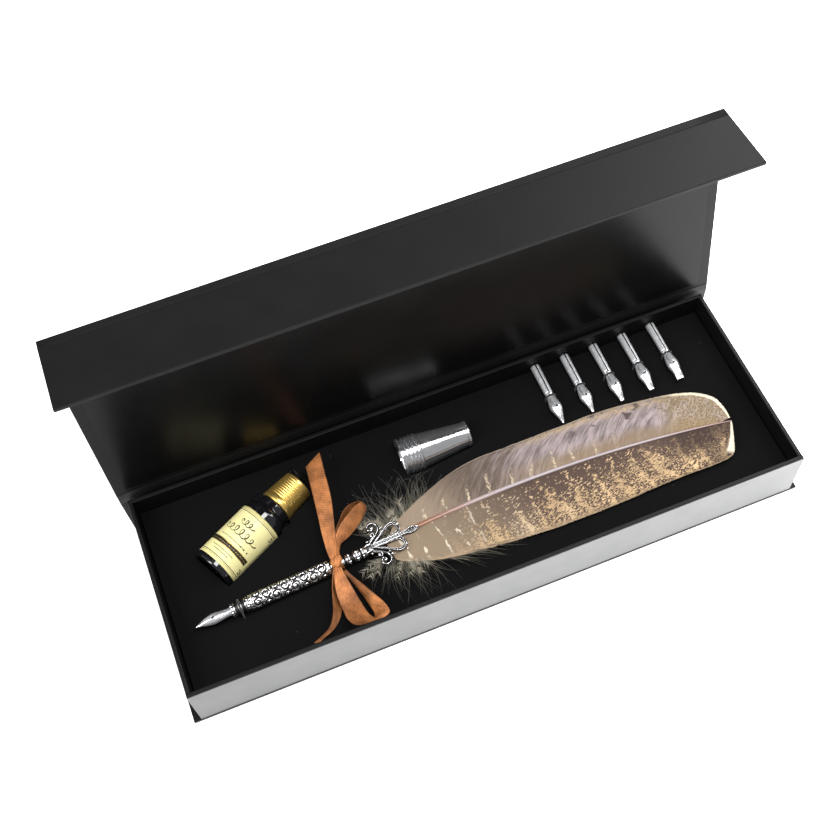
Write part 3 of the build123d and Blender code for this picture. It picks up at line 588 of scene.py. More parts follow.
@kept
def label_paper(base):
    """Pale label paper, a little mottled, with a faint wash round its edge."""
    look = Look("label paper", Roughness=0.48, IOR=1.45, Coat_Weight=0.15, Coat_Roughness=0.3)
    fibre = look.noise(1800.0, 3.0)
    cloud = look.noise(130.0, 4.0)
    _, along, _ = look.parts(look.place("UV"))
    rim = (along - 0.5).sum("ABSOLUTE").rise(0.40, 0.5)
    paper = look.mix(cloud * 0.7 + fibre * 0.3, *shades(base, 0.9, 1.1))
    look.paint(rim * cloud * 0.55, paper, (0.55, 0.45, 0.12))
    look.bump(fibre, 0.01)
    return look.material


@kept
def label_ink(base):
    """Print on the label."""
    look = Look("label ink", Roughness=0.55)
    look.paint(look.noise(2500.0, 2.0), *shades(base, 0.7, 1.5))
    return look.material


@kept
def cap_gold(base):
    """Bright gold plating with fine turning lines and rubbed spots."""
    look = Look("gold plating", Metallic=0.9, IOR=1.5, Coat_Weight=0.15, Coat_Roughness=0.1)
    fine = look.noise(1300.0, 2.0)
    rub = look.noise(220.0, 3.0)
    look.paint(rub, *shades(base, 0.86, 1.12))
    look.give("Roughness", rub * 0.08 + fine * 0.05 + 0.26)
    look.bump(fine, 0.006)
    return look.material


@kept
def soft_liner():
    """The pale disc inside the cap."""
    look = Look("cap liner", Roughness=0.7)
    look.paint(look.noise(900.0), (0.62, 0.62, 0.6), (0.8, 0.8, 0.78))
    return look.material


@kept
def ribbon_satin(base):
    """Copper satin: a fine diagonal weave with a changing sheen, on the ribbon's own UV map in millimetres."""
    look = Look("copper satin", Metallic=0.35, Anisotropic=0.5, IOR=1.5, Specular_IOR_Level=0.4)
    own = look.place("UV")
    across, along, _ = look.parts(own)
    weft = (along * 7.0 + across * 4.0).sum("SINE")
    warp = (along * 4.0 - across * 6.5).sum("SINE")
    slub = look.noise(2.2, 3.0, look.stretched(own, (0.8, 5.0, 1.0), 4.0))
    cloud = look.noise(110.0, 3.0)
    edge = (across - 5.0).sum("ABSOLUTE").rise(4.55, 4.8)
    tone = (weft + warp) * 0.2 + (slub - 0.5) * 1.1 + (cloud - 0.5) * 2.6 + 0.5
    dark, light = shades(base, 0.3, 1.6)
    look.paint(edge * ((along * 5.0).sum("SINE") * 0.3 + 0.5), look.mix(tone, dark, light), dark)
    look.give("Roughness", slub * 0.2 + 0.32)
    look.bump(weft * 0.5 + warp * 0.5 + edge * 2.0, 0.05)
    return look.material


@kept
def shaft_horn(tan, grey):
    """The feather's shaft: brown at its foot, silvery in the middle and brown again at the tip."""
    look = Look("feather shaft", Roughness=0.3, IOR=1.5, Coat_Weight=0.3, Coat_Roughness=0.2)
    x, _, _ = look.parts(look.place())
    grain = look.noise(500.0, 3.0, look.stretched(look.place(), (10, 1, 1)))
    foot = 1.0 - (x + grain * 0.01).rise(-0.025, 0.03)
    tip = x.rise(0.09, 0.13)
    middle = look.mix(grain, *shades(grey, 0.8, 1.25))
    look.paint(foot.sum("MAXIMUM", tip * 0.6), middle, look.mix(grain, *shades(tan, 0.6, 1.2)))
    look.bump(grain, 0.02)
    return look.material


def barb_lines(along_edge, barbs):
    """A fine line of shade for each barb."""
    return (along_edge * (2 * pi * barbs)).sum("COSINE") * 0.5 + 0.5


@kept
def lower_vane_look(tan, brown, gold, cream, barbs):
    """The lower vane: tan foot, dark outer ground, gold dashes in broken bands, and a cream tip."""
    look = Look("lower vane", Roughness=0.7, Sheen_Weight=0.04, Sheen_Roughness=0.4, Specular_IOR_Level=0.15)
    edge_way, out, _ = look.parts(look.place("UV"))
    spot = look.place()
    x, y, _ = look.parts(spot)
    cloud = look.noise(55.0, 4.0)
    lines = barb_lines(edge_way, barbs)
    darkness = (x + (out - 0.5) * -0.02 + (cloud - 0.5) * 0.05).rise(-0.035, 0.04)
    pale_rim = out.rise(0.86, 1.0) * (1.0 - x.rise(0.02, 0.09))
    ground = look.layers(tan, (darkness * 0.95, brown), (pale_rim * 0.75, (0.50, 0.36, 0.24)),
                         (lines * 0.25, shade(brown, 0.6)))
    bands = ((x * 1000.0 + y * 260.0 + (cloud - 0.5) * 22.0) * (2 * pi / 10.5)).sum("COSINE").rise(0.3, 1.0)
    crowd = (out * 0.9 + x * 3.2 + (cloud - 0.5) * 0.5).rise(0.18, 0.85)
    speck = look.drawn(1350.0, 3.0, spot, 2.2, 20.0)
    close = look.drawn(2000.0, 3.0, spot, 1.8, -35.0)
    level = 0.64 - bands * 0.08 - crowd * 0.085
    dashes = (speck - level).rise(-0.02, 0.04).sum("MAXIMUM", (close - level).rise(-0.02, 0.04) * crowd)
    near_shaft = out.rise(0.02, 0.10) * x.rise(-0.024, 0.004)
    gilt = look.mix(x.rise(-0.02, 0.07), (0.52, 0.43, 0.32), gold)
    gilt = look.mix(cloud.rise(0.35, 0.6), gilt, shade(gold, 0.7))
    streak = look.drawn(520.0, 3.0, spot, 2.4, -75.0).rise(0.46, 0.58)
    ticks = ((x * 1000.0 + y * 300.0 + (cloud - 0.5) * 16.0) * (2 * pi / 8.6)).sum("COSINE").rise(0.84, 0.99)
    bars = streak * ticks * (1.0 - x.rise(-0.012, 0.008)) * (1.0 - out.rise(0.7, 0.95))
    smudge = x.rise(0.108, 0.118) * out.rise(0.35, 0.6) * (1.0 - edge_way.rise(0.975, 0.99))
    corner = (x + (speck - 0.5) * 0.03).rise(0.092, 0.108) * (y + (speck - 0.5) * 0.02).rise(-0.0275, -0.023)
    painted = look.layers(ground, (dashes * near_shaft * 0.92, gilt), (bars * 0.85, (0.70, 0.63, 0.52)),
                          (smudge * 0.5 * cloud.rise(0.4, 0.6), shade(brown, 0.8)),
                          (corner * (1.0 - dashes * 0.1) * 0.95, shade(brown, 0.6)),
                          (out.rise(0.965, 0.985) * 0.6, (0.62, 0.47, 0.32)))
    tip = edge_way.rise(0.905, 0.92) * (out + (cloud - 0.5) * 0.16).rise(0.84, 0.90)
    look.paint(tip, painted, cream)
    look.bump(lines, 0.05)
    return look.material


@kept
def upper_vane_look(tan, brown, cream, lilac, barbs):
    """The upper vane: lilac-grey sheen with slanting streaks, tan rim, whitish bars by the shaft, cream tip."""
    look = Look("upper vane", Roughness=0.6, Sheen_Weight=0.06, Sheen_Roughness=0.35, Specular_IOR_Level=0.2)
    own = look.place("UV")
    edge_way, out, _ = look.parts(own)
    spot = look.place()
    x, y, _ = look.parts(spot)
    cloud = look.noise(60.0, 4.0)
    lines = barb_lines(edge_way, barbs)
    streaks = look.noise(1.0, 3.0, look.stretched(own, (1 / 230, 1 / 4, 1.0)))
    broad = look.noise(1.0, 2.0, look.stretched(own, (1 / 55, 1 / 2.2, 1.0)))
    sheen = look.mix((streaks * 0.55 + broad * 0.45).rise(0.36, 0.62), shade(lilac, 0.5),
                     shade(lilac, 1.3))
    foot = 1.0 - (x + (broad - 0.5) * 0.05).rise(0.0, 0.055)
    base = look.mix((x + (broad - 0.5) * 0.03).rise(-0.024, 0.004), shade(tan, 1.15), (0.105, 0.075, 0.056))
    base = look.mix(streaks.rise(0.35, 0.7) * 0.5, base, (0.20, 0.155, 0.125))
    olive = (1.0 - (out + (cloud - 0.5) * 0.3).rise(0.12, 0.42)) * (1.0 - foot)
    mottle = look.drawn(1500.0, 2.0, spot, 1.8, 30.0)
    rim = (out + (cloud - 0.5) * 0.22).rise(0.72, 0.9) * x.rise(0.015, 0.05)
    smudges = (look.noise(170.0, 3.0) + (streaks - 0.5) * 0.2).rise(0.52, 0.66) * out.rise(0.5, 0.62)
    smudges = smudges * x.rise(0.05, 0.065) * (1.0 - x.rise(0.112, 0.118))
    period = ((x * 1000.0 - y * 150.0 + (cloud - 0.5) * 8.0) * (2 * pi / 11.0)).sum("COSINE").rise(0.80, 1.0)
    fleck = look.drawn(1100.0, 3.0, spot, 2.0, 110.0).rise(0.44, 0.56)
    bars = period * fleck * (1.0 - (out + (broad - 0.5)).rise(0.15, 0.5)) * (1.0 - x.rise(0.055, 0.09))
    tip_x = x.rise(0.098, 0.112)
    ground = look.layers(sheen, (foot * 0.95, base), (olive * 0.8, (0.27, 0.19, 0.115)),
                         (rim * mottle.rise(0.42, 0.58) * 0.9, (0.52, 0.38, 0.21)),
                         (smudges * 0.85, shade(brown, 0.55)), (lines * 0.22, shade(brown, 0.7)),
                         (bars * 0.8, (0.66, 0.54, 0.38)), (tip_x * mottle.rise(0.3, 0.6) * 0.8, (0.36, 0.27, 0.13)),
                         (tip_x * mottle.rise(0.49, 0.57) * 0.8, (0.15, 0.10, 0.06)),
                         (out.rise(0.96, 0.985) * 0.7, (0.66, 0.53, 0.38)))
    tip = edge_way.rise(0.78, 0.84) * (out + edge_way * 0.25 + (cloud - 0.5) * 0.12).rise(1.13, 1.17)
    look.paint(tip, ground, cream)
    look.bump(lines + streaks, 0.05)
    return look.material


@kept
def down_look(name, dark, light):
    """Loose down, paler at its foot than at its tips."""
    look = Look(name, Roughness=0.85, Sheen_Weight=0.3)
    _, along, _ = look.parts(look.place("UV"))
    look.paint((along + (look.noise(300.0) - 0.5) * 0.8).rise(0.1, 0.8), light, dark)
    return look.material


# The case

# Factor that makes the front paper paler than the same black covering paper: painted reflection of the floor's light
FRONT_PAINTED_REFLECTION = 3.5


class QUILLBOX_OT_case(bpy.types.Operator):
    """Give the boards, papers and insert of the case their finishes"""
    bl_idname = "quillbox.case"
    bl_label = "Case finishes"

    def execute(self, context):
        case = context.scene.quillbox_case
        paper = covering_paper("black covering paper", case.paper_colour, 0.42, case.paper_grain, 0.022)
        lining = covering_paper("black lining paper", case.lining_colour, 0.24, case.paper_grain * 0.8, 0.012)
        finishes = (
            (paper, "bottom_board", "spine_board", "tray_base_board", "tray_front_wall", "tray_back_wall",
             "tray_left_wall", "tray_right_wall", "lid_board", "flap_board"),
            # The front paper is the black covering paper made paler: painted reflection of the floor's light
            (front_paper_with_painted_reflection(shade(case.paper_colour, FRONT_PAINTED_REFLECTION)), "front_wall_paper"),
            (lining, "lid_lining", "flap_lining"), (flock(case.flock_colour), "insert_card"),
            (plain_foam(record_colours["foam"]), "insert_foam"), (magnet_steel(), "tray_magnets", "flap_magnets"),
            (elastic(), "pen_tie", *(f"nib_tie_{i}" for i in range(1, 6))),
        )
        for material, *names in finishes:
            for name in names:
                dress(name, material)
        return {"FINISHED"}


# Each fold lies over both faces of the two boards that its crease joins
LID_CREASE = Vector((0, 52.55, 35.2))
FLAP_CREASE = Vector((0, 70.967, 141.821))
BASE_CREASE = Vector((0, 52.55, 1.2))
LID_WAY = (FLAP_CREASE - LID_CREASE).normalized()
FLAP_WAY = Matrix.Rotation(radians(95), 3, "X") @ LID_WAY
CREASES = (
    ("base_fold", "base_crease", BASE_CREASE, -Vector((0, 1, 0)), UP, ("case",)),
    ("lid_fold", "lid_crease", LID_CREASE, -UP, LID_WAY, ("case", "lid")),
    ("flap_fold", "flap_crease", FLAP_CREASE, -LID_WAY, FLAP_WAY, ("lid", "flap")),
)
FOLD_HALF_LENGTH = 153.4
FOLD_REACHES = (3.4, 2.2, 0.9)
FOLD_FACE = 1.06
LEAST_CORNER = 0.75


class QUILLBOX_OT_creases(bpy.types.Operator):
    """Make the folds of paper that join the boards"""
    bl_idname = "quillbox.creases"
    bl_label = "Creases"

    def execute(self, context):
        case = context.scene.quillbox_case
        paper = covering_paper("creased paper", case.paper_colour, 0.5, case.paper_grain * 1.3, 0.05)
        for name, node, centre, one, two, bodies in CREASES:
            form = new_form()
            for side in (1, -1):
                before = Vector((0, one.z, -one.y)) * side
                after = Vector((0, -two.z, two.y)) * side
                half = (before + after) / 2
                corner = half.normalized() / max(LEAST_CORNER, half.length)
                route = Line([centre + one * reach + before * FOLD_FACE for reach in FOLD_REACHES]
                             + [centre + corner]
                             + [centre + two * reach + after * FOLD_FACE for reach in reversed(FOLD_REACHES)])
                sheet_of(form, 16, 36, lambda across, along, route=route:
                         route.at(along) + Vector((FOLD_HALF_LENGTH * (2 * across - 1), 0, 0)),
                         (2 * FOLD_HALF_LENGTH, route.length))
            joined = len(bodies) > 1
            fold = piece(form, name, paper, None if joined else bodies[0], replaces=[node], shell=0.2)
            if joined:
                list(bodies)
                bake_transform(fold)
        return {"FINISHED"}


def dress(name, material):
    """Gives a part of the model its finish."""
    mesh = frame["nodes"][name].data
    mesh.materials.clear()
    mesh.materials.append(material)


# The feather

PEN_TIP = Vector((-138.05, -18.3, 26.45))
PEN_TURN = 3.4
NECK_END = 84.8
PEN_PLACE = lying(*PEN_TIP, PEN_TURN)
SHAFT_FOOT, SHAFT_TIP = (-51.40, -13.15), (131.6, -17.4)
SHAFT_ARCH = 6.6
SHAFT_HEIGHT, SHAFT_RISE = 26.45, 0.85
VANE_TOP, VANE_MIDDLE, VANE_RADIUS = 27.3, -11, 110


def shaft_centre(t):
    """The middle of the feather's shaft, from its foot to the tip."""
    x, y = (foot + (tip - foot) * t for foot, tip in zip(SHAFT_FOOT, SHAFT_TIP))
    return Vector((x, y + 4 * SHAFT_ARCH * t * (1 - t), SHAFT_HEIGHT + SHAFT_RISE * t))


def shaft_y(x):
    """How far back the shaft's middle is at a place along the feather."""
    return shaft_centre((x - SHAFT_FOOT[0]) / (SHAFT_TIP[0] - SHAFT_FOOT[0])).y


def vane_height(y):
    """The arch of the vanes."""
    return VANE_TOP - (VANE_RADIUS - sqrt(VANE_RADIUS ** 2 - (y - VANE_MIDDLE) ** 2))


UPPER_EDGE = [(-38.5, -6.8), (-35.3, -4.3), (-18.9, 3.7), (-0.9, 10.4), (13.7, 12.6), (21.5, 12.6), (51.1, 12.7),
              (75.9, 12.9), (97.2, 10.4), (117.8, 6.0), (129.0, -1.1), (131.7, -8.0), (131.9, -15.6)]
LOWER_EDGE = [(-43.4, -21.0), (-42.2, -23.0), (-36.3, -26.0), (-21.7, -30.3), (0.5, -33.1), (31.2, -35.3),
              (61.3, -35.4), (91.3, -34.3), (112.0, -34.5), (121.5, -34.1), (125.0, -32.6), (127.0, -29.6),
              (129.6, -23.4), (131.7, -17.6)]
UPPER_LEAD = [(0, 4), (0.08, 11), (0.25, 19), (0.55, 23), (0.78, 22), (0.9, 16), (1, 6)]
LOWER_LEAD = [(0, 1), (0.08, 7), (0.3, 17), (0.6, 21), (0.82, 19), (0.92, 14), (1, 5)]
UPPER_SPLITS = [(0.36, 0.006), (0.575, 0.005), (0.17, 0.003), (0.83, 0.003)]
LOWER_SPLITS = [(0.42, 0.004), (0.66, 0.003), (0.21, 0.003)]


def vane_form(edge, leads, splits, barbs, rows, seed):
    """One vane of separate barbs that leave the shaft steeply and bend towards the tip."""
    form = new_form()
    rim = Line([(x, y, 0) for x, y in edge], 20)
    chance = random.Random(seed)
    trims = [1 - 0.02 * chance.random() ** 3 for _ in range(barbs)]
    lifts = [chance.uniform(-0.05, 0.05) for _ in range(barbs)]

    def place(barb, across, along):
        share = (barb + 0.5 + (across - 0.5) * 1.3) / barbs
        reach = along * trims[barb]
        for centre, width in splits:
            gap = share - centre
            share += (width if gap > 0 else -width) * exp(-abs(gap) / 0.012) * reach ** 2
        end = rim.at(share)
        foot_x = end.x - between(leads, share)
        foot = Vector((foot_x, shaft_y(foot_x), 0))
        bend = Vector((foot.x + 0.34 * (end.x - foot.x), foot.y + 0.60 * (end.y - foot.y), 0))
        spot = foot * (1 - reach) ** 2 + bend * (2 * reach * (1 - reach)) + end * reach ** 2
        wave = 0.10 * sin(share * 61 + reach * 4) * reach + 0.14 * sin(share * 17) * reach
        ridge = 0.05 * (1 - abs(2 * across - 1)) + 0.035 * (2 * across - 1)
        spot.z = vane_height(spot.y) + wave + ridge + lifts[barb] * reach - 0.25 * exp(-reach * 9)
        return spot

    strips_of(form, barbs, 2, rows, place)
    return form


class QUILLBOX_OT_feather(bpy.types.Operator):
    """Make the feather: its shaft and both vanes, barb by barb"""
    bl_idname = "quillbox.feather"
    bl_label = "Feather"

    def execute(self, context):
        own = context.scene.quillbox_feather
        tan, brown, cream = own.tan_colour, own.brown_colour, own.cream_colour
        for side, finish, shape, seed in (
            ("upper", upper_vane_look(tan, brown, cream, own.lilac_colour, own.barbs),
             (UPPER_EDGE, UPPER_LEAD, UPPER_SPLITS), 3),
            ("lower", lower_vane_look(tan, brown, own.gold_colour, cream, own.barbs),
             (LOWER_EDGE, LOWER_LEAD, LOWER_SPLITS), 5),
        ):
            vane = vane_form(*shape, own.barbs, own.barb_rows, seed)
            piece(vane, f"{side}_barbs", finish, "pen", replaces=[f"{side}_vane"], shell=0.1)
        shaft = new_form()
        route = [PEN_PLACE @ Vector((81.2, 0, 0))] + [shaft_centre(i / 12) for i in range(13)]
        strand_of(shaft, route, lambda t: between([(0, 1.5), (0.05, 1.5), (0.5, 0.82), (1, 0.3)], t), 14, 90)
        close_up(shaft)
        piece(shaft, "feather_shaft", shaft_horn((0.30, 0.13, 0.07), (0.42, 0.36, 0.38)), "pen",
              replaces=["quill"])
        return {"FINISHED"}


def curl(chance, start, heading, reach, sweep, low, high):
    """A line of five points that bends as it goes."""
    points = []
    spot = Vector(start)
    turn = radians(heading)
    for i in range(6):
        points.append(spot.copy())
        spot = spot + Vector((cos(turn), sin(turn), 0)) * (reach / 5)
        turn += radians(sweep) / 5 + chance.uniform(-0.06, 0.06)
        spot.z = low + (high - low) * (0.3 + 0.7 * sin(pi * min(1, (i + 1) / 5) * 0.8)) * chance.uniform(0.85, 1.0)
    return points


DOWN_FRONT, DOWN_BACK = -46.5, 22.0
STAND_LEFT, STAND_FRONT = -24.5, 14.9


def inside_tray(spot):
    """Keeps down clear of the tray's front, the card and the stand."""
    spot.y = max(DOWN_FRONT, min(STAND_FRONT if spot.x > STAND_LEFT else DOWN_BACK, spot.y))
    spot.z = max(CARD_TOP + 0.25, spot.z)
    return spot


class QUILLBOX_OT_down(bpy.types.Operator):
    """Make the loose down round the foot of the feather"""
    bl_idname = "quillbox.down"
    bl_label = "Down"

    def execute(self, context):
        own = context.scene.quillbox_feather
        chance = random.Random(11)
        lines = []
        for i in range(own.strands):
            back = i % 9 < 5
            t = chance.random()
            if back:
                root = (-46 + 26 * t, shaft_y(-46) + 3 + 9 * t + chance.uniform(-3, 1), 25.2)
                heading = 128 - 72 * t + chance.uniform(-16, 16)
                reach = 9 + (22 - 9 * abs(t - 0.35)) * chance.random() ** 1.6
                sweep = chance.uniform(-80, 60)
            elif i % 9 < 8:
                root = (-50 + 22 * t, shaft_y(-46) - 7 - 6 * t + chance.uniform(-2, 2), 24.6)
                heading = -140 + 98 * t + chance.uniform(-18, 18)
                reach = 8 + 16 * chance.random() ** 1.6
                sweep = chance.uniform(-60, 70)
            else:
                root = (-22 + 24 * t, -29.6 - 2.2 * t, 24.4)
                heading = -34 + 14 * t + chance.uniform(-14, 12)
                reach = chance.uniform(8, 17)
                sweep = chance.uniform(-8, 24)
            lines.append(Line([inside_tray(p) for p in curl(chance, root, heading, reach, sweep, 23.2, 26.2)], 4))
        long_strands = new_form()
        strips_of(long_strands, len(lines), 3, 7, lambda i, across, along:
                  strand_point(lines[i], lambda t: 0.085 * (1 - t) + 0.025, across, along))
        close_up(long_strands)
        piece(long_strands, "down_strands", down_look("dark down", (0.055, 0.052, 0.034), (0.20, 0.18, 0.125)),
              "pen", replaces=["down_tuft"])
        plumes = []
        for i in range(18):
            back = i % 2 == 0
            t = chance.random()
            root = (-49 + 19 * t, shaft_y(-46) + (2.5 + 6 * t if back else -5.5 - 4 * t), 25.4)
            heading = (140 - 70 * t if back else -150 + 80 * t) + chance.uniform(-14, 14)
            plumes.append(Line([inside_tray(p) for p in curl(chance, root, heading, chance.uniform(7, 13),
                                                             chance.uniform(-40, 40), 24.4, 26.6)], 4))
        tufts = []
        for plume in plumes:
            for _ in range(44):
                t = chance.uniform(0.05, 1.0)
                way = plume.way(t)
                side = way.cross(UP) * chance.choice((-1, 1))
                start = plume.at(t)
                lean = (way * chance.uniform(0.5, 1.2) + side + UP * chance.uniform(-0.25, 0.25)).normalized()
                reach = chance.uniform(1.6, 3.8)
                tufts.append(Line([inside_tray(start), inside_tray(start + lean * reach * 0.5 + way * 0.15),
                                   inside_tray(start + lean * reach + way * 0.8)], 3))
        fluff = new_form()
        strips_of(fluff, len(tufts), 3, 3, lambda i, across, along:
                  strand_point(tufts[i], lambda t: 0.075 * (1 - t) + 0.02, across, along))
        close_up(fluff)
        piece(fluff, "down_fluff", down_look("pale down", (0.15, 0.135, 0.09), (0.50, 0.45, 0.34)), "pen")
        return {"FINISHED"}


# The pen, along X from the tip of its nib

COLLAR_START, COLLAR_END = 17.25, 25.75
BARREL_START, BARREL_END = 25.8, 65.8
SCROLLS_FROM, SCROLLS_TO = 27.5, 64.1
SCROLL_START, SCROLL_PITCH, SCROLLS_AROUND = 27.6, 4.56, 4


def scrollwork(u, turn):
    """Scrolls, leaves and beads cast on the barrel, from 0 in the hollows to 1 on top."""
    along = (u - SCROLL_START) / SCROLL_PITCH
    around = (turn / (2 * pi)) * SCROLLS_AROUND + (0.5 if int(floor(along)) % 2 else 0)
    row, column = floor(along), floor(around)
    p, q = 2 * (along - row) - 1, 2 * (around - column) - 1
    hand = 1 if (row + column) % 2 else -1
    reach, angle = hypot(p, q), atan2(q * hand, p)
    amount = 0.12
    if reach < 0.22:
        amount = 1.0
    elif reach < 1.0:
        arm = cos(2 * pi * (reach * 1.55 - angle / (2 * pi)))
        amount = 0.1 + 0.9 * ease(arm, -0.15, 0.55)
    else:
        leaf = abs(sin(angle * 6)) * ease(reach, 1.0, 1.12)
        amount = max(amount, leaf * 0.95)
    edge = abs(p)
    if edge > 0.93:
        amount = max(amount, ease(cos(around * 2 * pi * 6), -0.2, 0.5))
    return amount


def banded(u, turn, rings, beads):
    """Plain and beaded rings along a turned piece."""
    for start, end, beaded in rings:
        if start <= u <= end:
            rounding = sin(pi * (u - start) / (end - start)) ** 0.5
            return rounding * (0.45 + 0.55 * ease(cos(turn * beads), -0.4, 0.5) if beaded else 1.0)
    return 0.0


def cast(form, name, node):
    """Makes a form a piece of the pen in antique silver."""
    own = bpy.context.scene.quillbox_pen
    piece(form, name, antique_silver(own.silver_colour, own.hollow_colour), "pen", PEN_PLACE, [node])


class QUILLBOX_OT_pen(bpy.types.Operator):
    """Make the pen's collar, barrel and neck with their cast relief"""
    bl_idname = "quillbox.pen"
    bl_label = "Pen barrel"

    def execute(self, context):
        own = context.scene.quillbox_pen
        dress("nib_holder", polished_steel(own.steel_colour))
        barrel = turned_form([(BARREL_START, 1.6), (BARREL_START, 3.3), (25.95, 3.62), (26.1, 3.7)]
                             + [(26.1 + 39.4 * i / 220, 3.72) for i in range(1, 220)]
                             + [(65.5, 3.7), (65.65, 3.62), (BARREL_END, 3.3), (BARREL_END, 0.0)], 150)
        close_up(barrel)

        def barrel_relief(u, turn):
            if u < SCROLLS_FROM or u > SCROLLS_TO:
                near = (u - (26.65 if u < SCROLLS_FROM else 64.95)) / 0.85
                return max(0.15, sqrt(max(0.0, 1 - near * near))) * (0.8 + 0.2 * cos(turn * 18))
            return scrollwork(u, turn)
        emboss(barrel, barrel_relief, own.relief_height)
        cast(barrel, "scrolled_barrel", "pen_barrel")

        collar = turned_form([(COLLAR_START, 2.62), (COLLAR_START, 3.1)]
                             + [(17.3 + 8.4 * i / 84, 3.3) for i in range(85)]
                             + [(COLLAR_END, 3.1), (COLLAR_END, 2.62)], 120, ring=True)
        face_out(collar)
        collar_rings = [(17.2, 18.3, True), (18.4, 19.3, False), (23.7, 24.6, False), (24.7, 25.8, True),
                        (20.3, 22.7, False)]
        emboss(collar, lambda u, turn: banded(u, turn, collar_rings, 16) if u < 20 or u > 23
               else 0.35 * banded(u, turn, collar_rings, 10), 0.42, 2.9)
        cast(collar, "beaded_collar", "front_collar")

        neck = turned_form([(BARREL_END, 0.0), (BARREL_END, 2.6)]
                           + [(BARREL_END + 6.8 * i / 20, 2.6) for i in range(1, 21)]
                           + [(72.6 + 12.2 * i / 120, 2.75) for i in range(1, 121)]
                           + [(NECK_END, 1.6), (80.9, 1.58), (80.9, 0.0)], 110)
        close_up(neck)
        neck_rings = [(73.4, 74.5, False), (74.6, 75.8, True), (77.4, 78.3, False), (78.4, 79.9, True),
                      (80.0, 80.7, False), (81.5, 82.5, True), (82.6, 84.2, False)]
        emboss(neck, lambda u, turn: banded(u, turn, neck_rings, 12) if 72.7 < u < 84.7 else 1.0, 0.75)
        cast(neck, "ringed_neck", "pen_neck")
        return {"FINISHED"}


CREST_MIDDLE, CREST_LOW, CREST_HIGH = 2.2, 0.2, 3.4
LOOP_LEAN = 16.3


